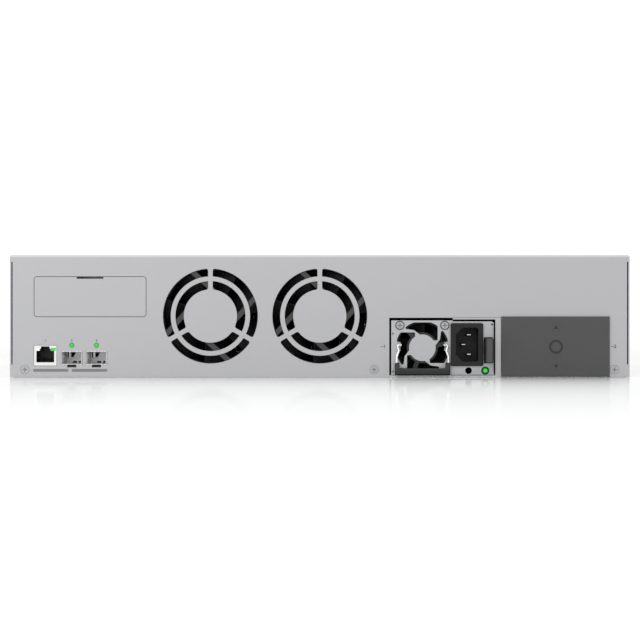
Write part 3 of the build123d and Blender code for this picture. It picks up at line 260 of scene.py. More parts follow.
def circuit_board(name, mask, copper):
    """Solder mask over traces: a grid of fine tracks with pads, under gloss lacquer."""
    made, tree, bsdf = shader(name)
    at = place(tree)
    tracks = tree.nodes.new("ShaderNodeTexBrick")
    tree.links.new(at, tracks.inputs["Vector"])
    for socket, value in (
        ("Scale", 130.0),
        ("Mortar Size", 0.012),
        ("Brick Width", 0.9),
        ("Row Height", 0.16),
    ):
        tracks.inputs[socket].default_value = value
    pads = tree.nodes.new("ShaderNodeTexVoronoi")
    pads.inputs["Scale"].default_value = 260.0
    tree.links.new(at, pads.inputs["Vector"])
    ring = maths(tree, "LESS_THAN", pads.outputs["Distance"], 0.16)
    lines = maths(tree, "MAXIMUM", tracks.outputs["Fac"], ring)
    tree.links.new(between(tree, lines, mask, copper), bsdf.inputs["Base Color"])
    bumped(tree, bsdf, lines, 0.4, 0.03 * MM)
    bsdf.inputs["Roughness"].default_value = 0.32
    return made


def lamp_green(name, centres, core, rim, strength):
    """A lit green lens, even over its core and dark where it meets its rim."""
    made, tree, bsdf = shader(name)
    x, _, z = axes(tree, place(tree))
    nearest = None
    for cx, cz in centres:
        dx = maths(tree, "SUBTRACT", x, cx)
        dz = maths(tree, "SUBTRACT", z, cz)
        far = length(tree, dx, dz)
        nearest = far if nearest is None else maths(tree, "MINIMUM", nearest, far)
    glow = remap(tree, nearest, 1.0, 0.0, core, rim)
    lit = between(tree, glow, (0.0, 0.05, 0.005), (0.025, 0.66, 0.04))
    tree.links.new(lit, bsdf.inputs["Emission Color"])
    bsdf.inputs["Emission Strength"].default_value = strength
    tree.links.new(
        between(tree, glow, (0.004, 0.05, 0.006), (0.01, 0.2, 0.015)),
        bsdf.inputs["Base Color"],
    )
    bsdf.inputs["Roughness"].default_value = 0.25
    bsdf.inputs["Specular IOR Level"].default_value = 0.25
    return made


def window_lamps():
    """Jack indicator windows: the rear one towards the uplinks is lit, the rest are milky."""
    made, tree, bsdf = shader("window_lamps")
    at = place(tree)
    x, y, _ = axes(tree, at)
    rear = maths(tree, "GREATER_THAN", y, 0.0)
    inner = maths(tree, "LESS_THAN", x, JACK.x)
    lit = maths(tree, "MULTIPLY", rear, inner)
    cloud = noise(tree, at, 900.0, detail=2.0)
    glow = remap(tree, cloud, 0.85, 1.0)
    green = between(tree, glow, (0.01, 0.3, 0.02), (0.015, 0.38, 0.03))
    milky = between(tree, glow, (0.74, 0.75, 0.75), (0.86, 0.87, 0.87))
    tree.links.new(between(tree, lit, milky, green), bsdf.inputs["Base Color"])
    tree.links.new(
        between(tree, lit, (0.0, 0.0, 0.0), (0.02, 0.42, 0.03)),
        bsdf.inputs["Emission Color"],
    )
    bsdf.inputs["Emission Strength"].default_value = 0.8
    bsdf.inputs["Roughness"].default_value = 0.35
    return made


def sooted_frame(name, centre, bore):
    """A fan frame whose struts and hub stay grey inside the bore, and whose outer part is
    painted near-black: painted shade.
    """
    made, tree, bsdf = shader(name)
    at = place(tree)
    x, _, z = axes(tree, at)
    dx = maths(tree, "SUBTRACT", x, centre.x)
    dz = maths(tree, "SUBTRACT", z, centre.z)
    # Painted shade: the frame is near-black beyond the bore's radius.
    painted_rim_shade = remap(tree, length(tree, dx, dz), 0.0, 1.0, bore, bore * 1.06)
    tree.links.new(
        between(tree, painted_rim_shade, (0.035, 0.035, 0.037), (0.003, 0.003, 0.003)),
        bsdf.inputs["Base Color"],
    )
    grained(tree, bsdf, at, 1700.0, (0.45, 0.6), 0.35)
    bsdf.inputs["Specular IOR Level"].default_value = 0.2
    return made


def latch_plastic():
    """The latch's thumb tab: a painted highlight down its crown and painted shade down both
    flanks.
    """
    made, tree, bsdf = shader("latch_plastic")
    at = place(tree)
    x = axes(tree, at)[X]
    crown = (LATCH_LOW.x + LATCH_HIGH.x) / 2
    flank = maths(tree, "ABSOLUTE", maths(tree, "SUBTRACT", x, crown))
    # Painted light: paler along the crown, darker towards both flanks.
    painted_crown_light = remap(tree, flank, 1.0, 0.0, 0.8 * MM, (LATCH_HIGH.x - crown) * 0.85)
    tree.links.new(
        between(tree, painted_crown_light, (0.014, 0.014, 0.0145), (0.056, 0.056, 0.058)),
        bsdf.inputs["Base Color"],
    )
    grained(tree, bsdf, at, 2000.0, (0.26, 0.4), 0.25)
    return made


def grip_plastic():
    """The handle's grip: painted shade along its foot and a painted highlight over its upper
    part.
    """
    made, tree, bsdf = shader("handle_plastic")
    at = place(tree)
    z = axes(tree, at)[Z]
    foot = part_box("psu_handle_grip")[0].z
    # Painted shade darkens the grip's foot; a painted highlight pales its upper part.
    above_painted_shade = remap(tree, z, 0.0, 1.0, foot + 0.2 * MM, foot + 1.9 * MM)
    painted_highlight = remap(tree, z, 0.0, 1.0, foot + 3.2 * MM, foot + 4.6 * MM)
    body = between(tree, above_painted_shade, (0.004, 0.004, 0.004), (0.0165, 0.0165, 0.0175))
    tree.links.new(
        between(tree, painted_highlight, body, (0.026, 0.026, 0.027)), bsdf.inputs["Base Color"]
    )
    grained(tree, bsdf, at, 2000.0, (0.34, 0.48), 0.3)
    bsdf.inputs["Specular IOR Level"].default_value = 0.36
    return made


def blade_metal():
    """The inlet's blades: a painted highlight at their tips and painted shade over the rest,
    deeper in the socket.
    """
    made, tree, bsdf = shader("inlet_blades")
    at = place(tree)
    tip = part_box("psu_inlet_blades")[1].y
    # Painted highlight on the last few tenths of a millimetre of each tip; painted shade behind
    # it.
    painted_highlight = remap(tree, axes(tree, at)[Y], 0.0, 1.0, tip - 0.3 * MM, tip - 0.08 * MM)
    lines = rolling_marks(tree, at, Y)
    bright = between(tree, lines, (0.56, 0.56, 0.55), (0.66, 0.66, 0.65))
    tree.links.new(
        between(tree, painted_highlight, (0.13, 0.13, 0.13), bright), bsdf.inputs["Base Color"]
    )
    tree.links.new(remap(tree, lines, 0.25, 0.4), bsdf.inputs["Roughness"])
    bumped(tree, bsdf, lines, 0.25, 0.02 * MM)
    bsdf.inputs["Metallic"].default_value = 1.0
    return made


PSU_FAN_BORE = 16.4 * MM
PIPES_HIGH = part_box("uplink_light_pipes")[1]
PIPE_R = PIPES_HIGH.x - max(spot.x for spot in UPLINKS)
STATUS_LOW, STATUS_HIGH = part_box("status_lamps")
STATUS_R = (STATUS_HIGH.x - STATUS_LOW.x) / 2

COAT = silver_coat()
ZINC = sheet_metal("zinc_sheet", (0.6, 0.605, 0.615), 0.36, X, vary=0.1, metal=0.85)
BAY_ZINC = sheet_metal("bay_zinc", (0.47, 0.472, 0.478), 0.38, X, vary=0.08, metal=0.8)
PSU_ZINC = sheet_metal("psu_zinc", (0.445, 0.45, 0.457), 0.45, X, vary=0.05, metal=0.6)
NICKEL = sheet_metal("bright_nickel", (0.8, 0.8, 0.79), 0.22, Z, vary=0.05)
STEEL = sheet_metal("screw_steel", (0.42, 0.42, 0.425), 0.3, X, vary=0.08)
BLADE = blade_metal()
CAGE = sheet_metal("cage_sheet", (0.58, 0.58, 0.58), 0.3, Z, vary=0.08)
SPRING = sheet_metal("cage_spring", (0.93, 0.93, 0.93), 0.34, Z, metal=0.3)
LINER = sheet_metal("cage_liner", (0.84, 0.84, 0.84), 0.4, Z, vary=0.16, metal=0.35)
WIRE = sheet_metal("bail_wire", (0.9, 0.9, 0.9), 0.16, Z, vary=0.04)
GOLD = sheet_metal("gold_contact", (0.5, 0.35, 0.13), 0.35, Y)
ALUMINIUM = sheet_metal("aluminium_sink", (0.72, 0.73, 0.74), 0.35, Y, vary=0.08)
COPPER = sheet_metal(
    "copper_winding", (0.72, 0.3, 0.12), 0.4, Y, vary=0.15, metal=0.8, brush=0.6
)
BLACK = moulded("black_plastic", (0.012, 0.012, 0.013), 0.42)
FAN_FRAME = moulded("fan_frame_plastic", (0.03, 0.03, 0.032), 0.42)
PSU_FAN_FRAME = sooted_frame("psu_fan_frame_plastic", middle("psu_fan_frame"), PSU_FAN_BORE)
IMPELLER = moulded("impeller_plastic", (0.006, 0.006, 0.0065), 0.5)
JACK_BLACK = moulded("jack_plastic", (0.006, 0.006, 0.0065), 0.5)
BLANK = moulded(
    "dark_grey_plastic",
    (0.073, 0.073, 0.074),
    0.55,
    grain_mm=0.5,
    grain=0.6,
    vary=0.05,
    specular=0.25,
)
INLET = moulded(
    "inlet_plastic",
    (0.013, 0.013, 0.0135),
    0.42,
    grain_mm=0.5,
    grain=0.4,
    vary=0.1,
    specular=0.26,
)
HANDLE = grip_plastic()
LATCH = latch_plastic()
FILTER = moulded(
    "filter_felt",
    (0.012, 0.012, 0.012),
    0.9,
    grain_mm=1.4,
    grain=1.0,
    vary=0.3,
    specular=0.1,
)
# Painted shade: the dark that fills the screws' seats and cross recesses.
PAINTED_RECESS_SHADE = moulded(
    "recess_shade",
    (0.2, 0.2, 0.202),
    0.55,
    grain_mm=0.3,
    grain=0.2,
    vary=0.15,
    specular=0.3,
)
GRILLE = moulded("grille_paint", (0.02, 0.02, 0.021), 0.5, grain_mm=0.4, grain=0.4)
PACKAGE = moulded("component_black", (0.02, 0.02, 0.021), 0.45)
SLEEVE = moulded("lead_sleeve", (0.015, 0.015, 0.015), 0.5, grain_mm=0.8, grain=0.2)
INK = moulded("printed_ink", (0.025, 0.025, 0.025), 0.6, grain_mm=0.3, grain=0.15, vary=0.06)
BAR_INK = moulded("bar_ink", (0.19, 0.19, 0.193), 0.6, grain_mm=0.3, grain=0.15, vary=0.06)
BOARD = circuit_board("circuit_board", mask=(0.012, 0.085, 0.04), copper=(0.03, 0.19, 0.075))
DARK_BOARD = circuit_board(
    "dark_circuit_board", mask=(0.006, 0.007, 0.008), copper=(0.014, 0.016, 0.018)
)
WINDOWS = window_lamps()
UPLINK_LAMPS = lamp_green(
    "uplink_lamps",
    [(spot.x, PIPES_HIGH.z - PIPE_R) for spot in UPLINKS],
    core=PIPE_R * 0.5,
    rim=PIPE_R * 1.15,
    strength=0.85,
)
STATUS_LAMPS = lamp_green(
    "status_lamps",
    [(STATUS_LOW.x + STATUS_R, STATUS_HIGH.z - STATUS_R)],
    core=STATUS_R * 0.6,
    rim=STATUS_R * 1.15,
    strength=0.85,
)
SUPPLY_LAMP = lamp_green(
    "psu_lamp",
    [(PSU_LAMP.x, PSU_LAMP.z)],
    core=0.9 * MM,
    rim=1.8 * MM,
    strength=0.9,
)

FINISHES = {
    COAT: ("top_cover", "rear_panel", "front_panel", "expansion_cover"),
    ZINC: ("base_tray", "fan_bracket", "expansion_pocket", "psu_case"),
    BAY_ZINC: ("psu_cage",),
    PSU_ZINC: ("psu_faceplate",),
    NICKEL: ("port_shields", "mgmt_jack_shield", "front_sfp_cages"),
    CAGE: ("uplink_cage_1", "uplink_cage_2"),
    BLADE: ("psu_inlet_blades",),
    WIRE: ("psu_handle_wire",),
    STEEL: (
        "chassis_screws",
        "ear_nuts",
        "board_standoffs",
        "board_screws",
        "fan_screws",
        "psu_face_screws",
        "fan_1_shaft",
        "fan_2_shaft",
        "psu_fan_shaft",
    ),
    GOLD: ("port_contacts",),
    ALUMINIUM: ("heatsinks",),
    COPPER: ("fan_1_stator", "fan_2_stator", "psu_fan_stator"),
    FAN_FRAME: ("fan_1_frame", "fan_2_frame"),
    PSU_FAN_FRAME: ("psu_fan_frame",),
    IMPELLER: ("fan_1_impeller", "fan_2_impeller", "psu_fan_impeller"),
    JACK_BLACK: ("port_inserts", "mgmt_jack_insert"),
    BLACK: ("reset_button",),
    BLANK: ("bay_blank",),
    INLET: ("psu_inlet",),
    HANDLE: ("psu_handle_grip",),
    LATCH: ("psu_latch",),
    GRILLE: ("intake_grille",),
    PACKAGE: (
        "board_connectors",
        "switch_chips",
        "board_capacitors",
        "expansion_socket",
        "psu_power_parts",
    ),
    SLEEVE: ("fan_leads",),
    DARK_BOARD: ("io_board",),
    BOARD: ("main_board", "power_backplane", "expansion_card", "psu_board"),
    WINDOWS: ("port_lamps",),
    STATUS_LAMPS: ("status_lamps",),
    UPLINK_LAMPS: ("uplink_light_pipes",),
    SUPPLY_LAMP: ("psu_lamp",),
}


def dress_frame():
    """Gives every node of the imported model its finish."""
    for finish, names in FINISHES.items():
        for name in names:
            mesh = NODES[name].data
            mesh.materials.clear()
            mesh.materials.append(finish)


# ---------------------------------------------------------------- mesh helpers

INK_RISE = 0.02 * MM
BOLDER = 0.02


def as_piece(name, mesh, finish, body):
    """Turns a mesh into a piece that has a finish and rides on a body."""
    mesh.materials.clear()
    mesh.materials.append(finish)
    piece = bpy.data.objects.new(name, mesh)
    SCENE.collection.objects.link(piece)
    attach(piece, body)


def finished(name, build, finish, body):
    """Turns a bmesh into a piece."""
    mesh = bpy.data.meshes.new(name)
    build.to_mesh(mesh)
    build.free()
    as_piece(name, mesh, finish, body)


def add_box(build, low, high, bevel=0.0):
    """Adds a box between two corners, with rounded edges if bevel is given."""
    low, high = Vector(low), Vector(high)
    made = bmesh.ops.create_cube(
        build,
        size=1.0,
        matrix=Matrix.Translation((low + high) / 2) @ Matrix.Diagonal((*(high - low), 1.0)),
    )
    if bevel:
        edges = {e for v in made["verts"] for e in v.link_edges}
        bmesh.ops.bevel(
            build,
            geom=list(edges),
            offset=bevel,
            segments=2,
            affect="EDGES",
            profile=0.5,
        )


def piece_from_curve(name, curve, placing, finish, body):
    """Turns a filled curve, drawn in its own XY plane, into a placed piece."""
    holder = bpy.data.objects.new(name + "_outline", curve)
    SCENE.collection.objects.link(holder)
    bpy.context.view_layer.update()
    mesh = bpy.data.meshes.new_from_object(holder)
    bpy.data.objects.remove(holder)
    mesh.transform(placing)
    as_piece(name, mesh, finish, body)


def upright(at, turn=0.0):
    """Stands a flat drawing up, its own Y along +Z, and turns it about the vertical."""
    return (
        Matrix.Translation(at)
        @ Matrix.Rotation(turn, 4, "Z")
        @ Matrix.Rotation(math.pi / 2, 4, "X")
    )


def digits(name, text, size, at, turn):
    """Numerals printed on the case, a hair proud of it; turn is about the vertical."""
    curve = bpy.data.curves.new(name, "FONT")
    curve.body = text
    curve.size = size
    curve.offset = BOLDER * size
    curve.extrude = INK_RISE
    curve.align_x = "CENTER"
    curve.align_y = "CENTER"
    piece_from_curve(name, curve, upright(at, turn), INK, "chassis")


def cut_sheet(name, loops, thick, placing, finish, body, edge):
    """Sheet metal cut to closed outlines: its border first, then its windows."""
    curve = bpy.data.curves.new(name, "CURVE")
    curve.dimensions = "2D"
    curve.fill_mode = "BOTH"
    curve.extrude = thick / 2 - edge
    curve.bevel_depth = edge
    for loop in loops:
        line = curve.splines.new("POLY")
        line.points.add(len(loop) - 1)
        for point, (u, v) in zip(line.points, loop):
            point.co = (u, v, 0.0, 1.0)
        line.use_cyclic_u = True
    piece_from_curve(name, curve, placing, finish, body)


def shares(width, height, corners):
    """Corners given as shares of a sheet's width and height, as lengths."""
    return [(u * width, v * height) for u, v in corners]


def four(u0, u1, v0, v1):
    """An upright window's corners, as shares."""
    return [(u0, v0), (u1, v0), (u1, v1), (u0, v1)]


# --------------------------------------------------------------- printed marks

# Where the two bars start and stop, their foot and top, and where the bays' marks are, in mm.
BARS_ACROSS = ((179.45, 204.3), (151.7, 176.8))
BARS_FOOT, BARS_TOP = 3.8, 5.8
BAY_MARKS_ACROSS = (-45.2, -209.7)
BAY_MARKS_UP = 21.8

# How proud the bars are, sizes of the numerals, and how far these stand from their ports.
BAR_RISE = 0.04 * MM
REAR_PORT_SIZE, BAY_SIZE, FRONT_PORT_SIZE = 2.3 * MM, 3.3 * MM, 2.8 * MM
OVER_REAR_PORTS = 10.7 * MM
FRONT_CLEAR = 2.6 * MM


def print_rear_marks():
    """The two bars under the rear ports, port numerals and power-bay numerals."""
    bars = bmesh.new()
    for start, stop in BARS_ACROSS:
        add_box(
            bars,
            (start * MM, REAR, BARS_FOOT * MM),
            (stop * MM, REAR + BAR_RISE, BARS_TOP * MM),
        )
    finished("port_bars", bars, BAR_INK, "chassis")
    y = REAR + INK_RISE
    over = JACK.z + OVER_REAR_PORTS
    for number, port in enumerate((JACK, *UPLINKS), 1):
        at = Vector((port.x, y, over))
        digits(f"rear_port_mark_{number}", str(number), REAR_PORT_SIZE, at, math.pi)
    for number, x in enumerate(BAY_MARKS_ACROSS, 1):
        at = Vector((x * MM, y, BAY_MARKS_UP * MM))
        digits(f"power_bay_mark_{number}", f"~{number}", BAY_SIZE, at, math.pi)


def print_front_marks():
    """Port numerals: odd ones over the upper row of jacks, even ones under the lower row.

    The transceiver ports' numerals are over their cages.
    """
    jacks_low, jacks_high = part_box("port_shields")
    cages_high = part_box("front_sfp_cages")[1]
    count = 0
    for opening in frame["record"]["physics"]["openings"]:
        low, high = opening["box_m"]
        if not opening["name"].startswith(("lan_port", "front_sfp")):
            continue
        count += 1
        if opening["name"].startswith("front_sfp"):
            z = cages_high.z + FRONT_CLEAR
        elif count % 2:
            z = jacks_high.z + FRONT_CLEAR
        else:
            z = jacks_low.z - FRONT_CLEAR
        at = Vector(((low[X] + high[X]) / 2, FRONT - INK_RISE, z))
        digits(f"front_port_mark_{count}", str(count), FRONT_PORT_SIZE, at, 0.0)


# ------------------------------------------------------------ transceiver cages

CAGE_WALL = 0.45 * MM
LINER_LONG = 34.0 * MM
LINER_SLOTS = [four(0.09 + 0.13 * k, 0.125 + 0.13 * k, 0.3, 0.7) for k in range(7)]
PLATE_DEEP = 23.0 * MM
PLATE_WINDOWS = (
    four(0.87, 0.94, 0.45, 0.98),
    [(0.64, 0.5), (0.76, 0.5), (0.76, 0.98), (0.5, 0.98)],
    four(0.46, 0.67, 0.02, 0.18),
    four(0.25, 0.36, 0.02, 0.2),
)
FOLD_SHARE = 0.815
FINGERS = 6
FINGER_HALF = 0.85 * MM
FINGER_GAP = 0.25 * MM
LIP_CLEAR = 3.6 * MM
LIP_HALF = 3.1 * MM


def line_cage(number, low, high):
    """Slotted spring liners along both side walls of a rear cage."""
    tall = high.z - low.z - 2 * CAGE_WALL
    loops = [shares(LINER_LONG, tall, four(0.0, 1.0, 0.0, 1.0))]
    loops += [shares(LINER_LONG, tall, slot) for slot in LINER_SLOTS]
    start = REAR - LINER_LONG - 0.8 * MM
    outer, inner = high.x - CAGE_WALL - 0.15 * MM, low.x + CAGE_WALL + 0.15 * MM
    for side, x in (("outer", outer), ("inner", inner)):
        cut_sheet(
            f"uplink_liner_{side}_{number}",
            loops,
            0.2 * MM,
            upright(Vector((x, start, low.z + CAGE_WALL)), math.pi / 2),
            LINER,
            "chassis",
            edge=0.03 * MM,
        )


def plate_cage(number, low, high):
    """The windowed plate before a rear cage's socket, and the bright fold on it."""
    wide, tall = high.x - low.x - 2 * CAGE_WALL, high.z - low.z - 2 * CAGE_WALL
    back = low.y + PLATE_DEEP
    cut_sheet(
        f"uplink_spring_{number}",
        [shares(wide, tall, four(0.0, 1.0, 0.0, 1.0))]
        + [shares(wide, tall, window) for window in PLATE_WINDOWS],
        0.3 * MM,
        upright(Vector((low.x + CAGE_WALL, back, low.z + CAGE_WALL))),
        SPRING,
        "chassis",
        edge=0.05 * MM,
    )
    fold = bmesh.new()
    x = low.x + CAGE_WALL + FOLD_SHARE * wide
    add_box(
        fold,
        (x - 0.4 * MM, back, low.z + CAGE_WALL + 0.45 * tall),
        (x + 0.4 * MM, back + 2.2 * MM, high.z - CAGE_WALL - 0.2 * MM),
        bevel=0.12 * MM,
    )
    finished(f"uplink_fold_{number}", fold, WIRE, "chassis")


def edge_cage(number, low, high):
    """Spring fingers over and under a rear cage's mouth, and the latch lip below it."""
    fingers = bmesh.new()
    top, bottom = high.z + FINGER_GAP, low.z - FINGER_GAP
    centre = (low.x + high.x) / 2
    for k in range(FINGERS):
        x = low.x + (k + 0.5) * (high.x - low.x) / FINGERS
        spans = [(high.z - 0.05 * MM, top)]
        if abs(x - centre) > LIP_CLEAR:
            spans.append((bottom, low.z + 0.05 * MM))
        for foot, head in spans:
            add_box(
                fingers,
                (x - FINGER_HALF, REAR - 1.0 * MM, foot),
                (x + FINGER_HALF, REAR + 0.25 * MM, head),
                bevel=0.08 * MM,
            )
    finished(f"uplink_fingers_{number}", fingers, SPRING, "chassis")
    lip = bmesh.new()
    add_box(
        lip,
        (centre - LIP_HALF, REAR - 0.6 * MM, low.z - 0.1 * MM),
        (centre + LIP_HALF, REAR + 0.45 * MM, low.z + 0.5 * MM),
        bevel=0.2 * MM,
    )
    finished(f"uplink_lip_{number}", lip, NICKEL, "chassis")


def furnish_cages():
    """Sheet parts in and round each rear cage."""
    for number in (1, 2):
        low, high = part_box(f"uplink_cage_{number}")
        line_cage(number, low, high)
        plate_cage(number, low, high)
        edge_cage(number, low, high)


# --------------------------------------------------------------- small fittings

FILTER_FOLDS = 180
FILTER_DEEP = 2.4 * MM
RING_TURNS = 40
SEAM_START, SEAM_STOP = -129.3 * MM, -94.8 * MM
SEAM_FOOT, SEAM_TOP = 42.16 * MM, 42.44 * MM

# The spare bay's mark: the ring's radii, then the pointers' radius and distance from its middle.
RING_INNER, RING_OUTER = 3.42 * MM, 4.98 * MM
POINTER, POINTER_AWAY = 1.8 * MM, 13.6 * MM


def fit_intake_filter():
    """A pleated dust filter behind the front grille."""
    low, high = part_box("intake_grille")
    sheet = bmesh.new()
    rows = []
    for k in range(FILTER_FOLDS + 1):
        x = low.x + (high.x - low.x) * k / FILTER_FOLDS
        y = high.y + 0.4 * MM + (k % 2) * FILTER_DEEP
        rows.append([sheet.verts.new((x, y, z)) for z in (low.z, high.z)])
    for near, far in zip(rows, rows[1:]):
        sheet.faces.new((near[0], far[0], far[1], near[1]))
    bmesh.ops.solidify(sheet, geom=sheet.faces[:], thickness=0.3 * MM)
    finished("intake_filter", sheet, FILTER, "chassis")


def ring_of(build, placing, inner, outer, rise):
    """Adds a raised ring round the placing's own Z: a rounded band between two radii."""
    profile = [
        (outer, 0.0),
        (outer - 0.1 * MM, rise * 0.8),
        ((inner + outer) / 2, rise),
        (inner + 0.1 * MM, rise * 0.8),
        (inner, 0.0),
    ]
    loops = []
    for k in range(RING_TURNS):
        turn = 2 * math.pi * k / RING_TURNS
        ring = [Vector((r * math.cos(turn), r * math.sin(turn), up)) for r, up in profile]
        loops.append([build.verts.new(placing @ point) for point in ring])
    for k in range(RING_TURNS):
        here, after = loops[k], loops[(k + 1) % RING_TURNS]
        for j in range(len(profile) - 1):
            build.faces.new((here[j], after[j], after[j + 1], here[j + 1]))


def cross(x, z, arm, half):
    """A cross recess's outline about a point of the sheet that it is cut from."""
    corners = []
    for quarter in range(4):
        turn = Matrix.Rotation(quarter * math.pi / 2, 2)
        for u, v in ((arm, -half), (arm, half), (half, half)):
            corner = turn @ Vector((u, v))
            corners.append((x + corner.x, z + corner.y))
    return corners


def ring_lamp_and_screws():
    """The bezel of the supply's lamp, and painted shade in the seats and cross recesses of the
    screws.
    """
    bezel = bmesh.new()
    on_face = upright(Vector((PSU_LAMP.x, REAR, PSU_LAMP.z)), math.pi)
    ring_of(bezel, on_face, inner=2.4 * MM, outer=2.9 * MM, rise=0.35 * MM)
    finished("psu_lamp_bezel", bezel, BLACK, "psu")
    low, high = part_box("psu_face_screws")
    head = (high.z - low.z) / 2
    seats = bmesh.new()
    # Painted shade: a dark ring round each screw head and a dark cross in its recess.
    for number, x in enumerate((low.x + head, high.x - head), 1):
        on_face = upright(Vector((x, REAR, low.z + head)), math.pi)
        ring_of(seats, on_face, inner=head, outer=head + 0.4 * MM, rise=0.12 * MM)
        cut_sheet(
            f"psu_screw_recess_{number}",
            [cross(x, low.z + head, arm=head * 0.53, half=head * 0.09)],
            0.2 * MM,
            upright(Vector((0.0, high.y - 0.62 * MM, 0.0))),
            PAINTED_RECESS_SHADE,
            "psu",
            edge=0.02 * MM,
        )
    finished("psu_screw_seat_shade", seats, PAINTED_RECESS_SHADE, "psu")


def solids_of(node):
    """The boxes of a node's separate solids, in order of place."""
    mesh = bmesh.new()
    mesh.from_mesh(NODES[node].data)
    bmesh.ops.remove_doubles(mesh, verts=mesh.verts[:], dist=0.001 * MM)
    seen, boxes = set(), []
    for first in mesh.verts:
        if first in seen:
            continue
        seen.add(first)
        solid = [first]
        for vert in solid:
            for edge in vert.link_edges:
                other = edge.other_vert(vert)
                if other not in seen:
                    seen.add(other)
                    solid.append(other)
        low = Vector([min(vert.co[axis] for vert in solid) for axis in range(3)])
        high = Vector([max(vert.co[axis] for vert in solid) for axis in range(3)])
        boxes.append((low, high))
    mesh.free()
    return sorted(boxes, key=lambda box: [round(edge, 4) for edge in box[0]])


def mark_case_screws():
    """Painted shade round the head of each case screw, on all four sides, and in its cross
    recess.
    """
    rims = bmesh.new()
    near = 0.5 * MM
    for number, (low, high) in enumerate(solids_of("chassis_screws"), 1):
        x, y, z = (low + high) / 2
        if high.y > REAR - near:
            at, turn = (x, REAR, z), math.pi
        elif low.y < FRONT + near:
            at, turn = (x, FRONT, z), 0.0
        elif x > 0.0:
            at, turn = (cad_high.x, y, z), math.pi / 2
        else:
            at, turn = (cad_low.x, y, z), -math.pi / 2
        head = (high.z - low.z) / 2
        on_face = upright(Vector(at), turn)
        ring_of(rims, on_face, inner=head, outer=head * 1.1, rise=0.03 * MM)
        cut_sheet(
            f"case_screw_recess_{number}",
            [cross(0.0, 0.0, arm=head * 0.5, half=head * 0.1)],
            0.1 * MM,
            on_face @ Matrix.Translation((0.0, 0.0, -0.35 * MM)),
            PAINTED_RECESS_SHADE,
            "chassis",
            edge=0.02 * MM,
        )
    finished("case_screw_rim_shade", rims, PAINTED_RECESS_SHADE, "chassis")


def seal_supply():
    """Painted shade: black strips in the gaps down the supply's latch side and under it; and the
    seam of the bay's trim.
    """
    low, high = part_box("psu_faceplate")
    deep, proud = high.y - 0.9 * MM, high.y + 0.05 * MM
    # Black strips where the gaps round the supply lie in shadow: painted shade.
    strip = bmesh.new()
    add_box(
        strip,
        (low.x - 0.02 * MM, deep, low.z + 1.5 * MM),
        (low.x + 0.75 * MM, proud, high.z - 1.6 * MM),
        bevel=0.1 * MM,
    )
    add_box(
        strip,
        (low.x + 1.0 * MM, deep, low.z - 0.02 * MM),
        (high.x - 1.0 * MM, proud, low.z + 0.3 * MM),
        bevel=0.05 * MM,
    )
    finished("psu_gap_shade", strip, FILTER, "psu")
    seam = bmesh.new()
    add_box(seam, (SEAM_START, REAR, SEAM_FOOT), (SEAM_STOP, REAR + INK_RISE, SEAM_TOP))
    finished("bay_trim_seam", seam, INK, "chassis")


def stain_blank_marks():
    """Dark paint in the sunk ring and pointers of the spare bay's cover."""
    low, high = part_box("bay_blank")
    x, z = (low.x + high.x) / 2 - 0.3 * MM, (low.z + high.z) / 2 - 0.2 * MM
    y = high.y - 0.4 * MM
    ring = bmesh.new()
    on_face = upright(Vector((x, y, z)), math.pi)
    ring_of(ring, on_face, inner=RING_INNER, outer=RING_OUTER, rise=0.03 * MM)
    finished("blank_ring", ring, INK, "bay_blank")
    for name, way in (("upper", 1), ("lower", -1)):
        corners = []
        for k in range(3):
            turn = k * math.tau / 3
            up = way * (POINTER_AWAY + POINTER * math.cos(turn))
            corners.append((x + POINTER * math.sin(turn), z + up))
        cut_sheet(
            f"blank_pointer_{name}",
            [corners],
            0.1 * MM,
            upright(Vector((0.0, y, 0.0))),
            INK,
            "bay_blank",
            edge=0.02 * MM,
        )


# ----------------------------------------------------------------------- stage

FLOOR_REACH = 60.0
FLOOR_GAP = 0.1 * MM
MIRROR_FADE = 0.19
MIRROR_SHARE = 0.82
PALER_FROM, PALER_TO = 0.25, 1.5
CAMERA_AWAY = 1.3
CAMERA_X, CAMERA_Z = -0.16 * MM, 40.7 * MM
SEEN_WIDTH = 456.4 * MM


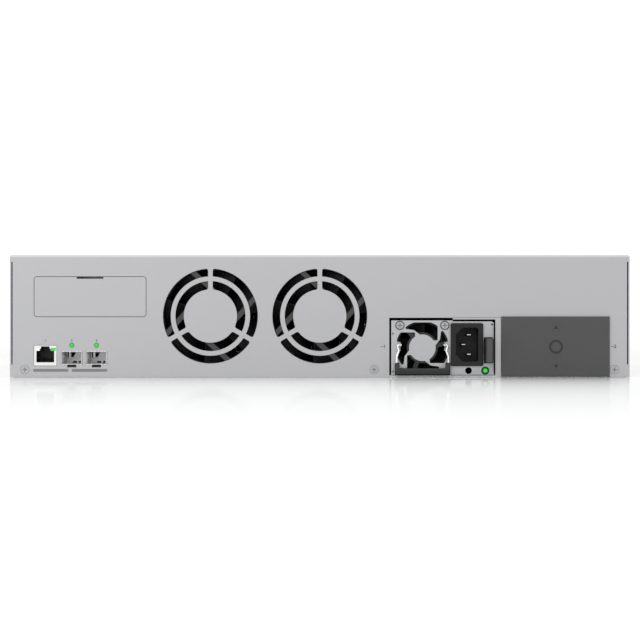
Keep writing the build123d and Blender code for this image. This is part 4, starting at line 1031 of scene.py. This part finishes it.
def polished_floor():
    """White, with a reflection that fades, and a tone that is darker near the case and pales
    away from it: painted shade round the case.
    """
    made = bpy.data.materials.new("floor")
    made.use_nodes = True
    tree = made.node_tree
    tree.nodes.remove(tree.nodes["Principled BSDF"])
    matt = tree.nodes.new("ShaderNodeBsdfDiffuse")
    gloss = tree.nodes.new("ShaderNodeBsdfAnisotropic")
    gloss.inputs["Color"].default_value = (1.0, 1.0, 1.0, 1.0)
    gloss.inputs["Roughness"].default_value = 0.05
    fresnel = tree.nodes.new("ShaderNodeFresnel")
    x, y, _ = axes(tree, place(tree))
    steps = []
    for axis, edge in ((x, cad_high.x), (y, cad_high.y)):
        past = maths(tree, "SUBTRACT", maths(tree, "ABSOLUTE", axis), edge)
        steps.append(maths(tree, "MAXIMUM", past, 0.0))
    away = length(tree, *steps)
    fade = maths(tree, "EXPONENT", maths(tree, "MULTIPLY", away, -1.0 / MIRROR_FADE))
    mirror = maths(tree, "MULTIPLY", fade, MIRROR_SHARE)
    # Painted shade: the floor's tone is darker near the case, paling further away.
    paler = remap(tree, away, 0.0, 1.0, PALER_FROM, PALER_TO)
    tone = between(tree, paler, (0.87, 0.873, 0.875), (0.97, 0.97, 0.97))
    tree.links.new(tone, matt.inputs["Color"])
    mix = tree.nodes.new("ShaderNodeMixShader")
    tree.links.new(maths(tree, "MULTIPLY", fresnel.outputs[0], mirror), mix.inputs[0])
    tree.links.new(matt.outputs[0], mix.inputs[1])
    tree.links.new(gloss.outputs[0], mix.inputs[2])
    tree.links.new(mix.outputs[0], tree.nodes["Material Output"].inputs["Surface"])
    return made


def build_stage():
    """A pale floor with a soft reflection round the case, and even studio light."""
    floor = bpy.data.meshes.new("floor")
    level = cad_low.z - FLOOR_GAP
    corners = ((-1, -1), (1, -1), (1, 1), (-1, 1))
    points = [(x * FLOOR_REACH, y * FLOOR_REACH, level) for x, y in corners]
    floor.from_pydata(points, [], [(0, 1, 2, 3)])
    floor.materials.append(polished_floor())
    ground = bpy.data.objects.new("floor", floor)
    SCENE.collection.objects.link(ground)

    world = bpy.data.worlds.new("studio")
    world.use_nodes = True
    SCENE.world = world
    sky = world.node_tree.nodes["Background"]
    sky.inputs["Color"].default_value = (1.0, 1.0, 1.0, 1.0)
    sky.inputs["Strength"].default_value = 1.05


def add_light(name, at, aim, size, power):
    """A rectangular lamp at one point that faces another."""
    lamp = bpy.data.lights.new(name, "AREA")
    lamp.shape = "RECTANGLE"
    lamp.size, lamp.size_y = size
    lamp.energy = power
    holder = bpy.data.objects.new(name, lamp)
    holder.location = at
    holder.rotation_mode = "QUATERNION"
    holder.rotation_quaternion = (Vector(aim) - Vector(at)).to_track_quat("-Z", "Y")
    SCENE.collection.objects.link(holder)


def build_camera():
    """A long lens, level with the middle of the case, square on to the rear panel."""
    lens = bpy.data.cameras.new("camera")
    lens.sensor_width = 36.0
    lens.lens = lens.sensor_width * CAMERA_AWAY / SEEN_WIDTH
    lens.clip_start, lens.clip_end = 0.1, 200.0
    holder = bpy.data.objects.new("camera", lens)
    holder.location = (CAMERA_X, REAR + CAMERA_AWAY, CAMERA_Z)
    holder.rotation_euler = (math.pi / 2, 0.0, math.pi)
    SCENE.collection.objects.link(holder)
    SCENE.camera = holder


dress_frame()
print_rear_marks()
print_front_marks()
furnish_cages()
fit_intake_filter()
ring_lamp_and_screws()
mark_case_screws()
seal_supply()
stain_blank_marks()
build_stage()
build_camera()
add_light("key", at=(1.1, 2.2, 0.9), aim=(0.0, 0.2, 0.04), size=(1.2, 0.8), power=11.0)
SCENE.view_settings.view_transform = "Standard"
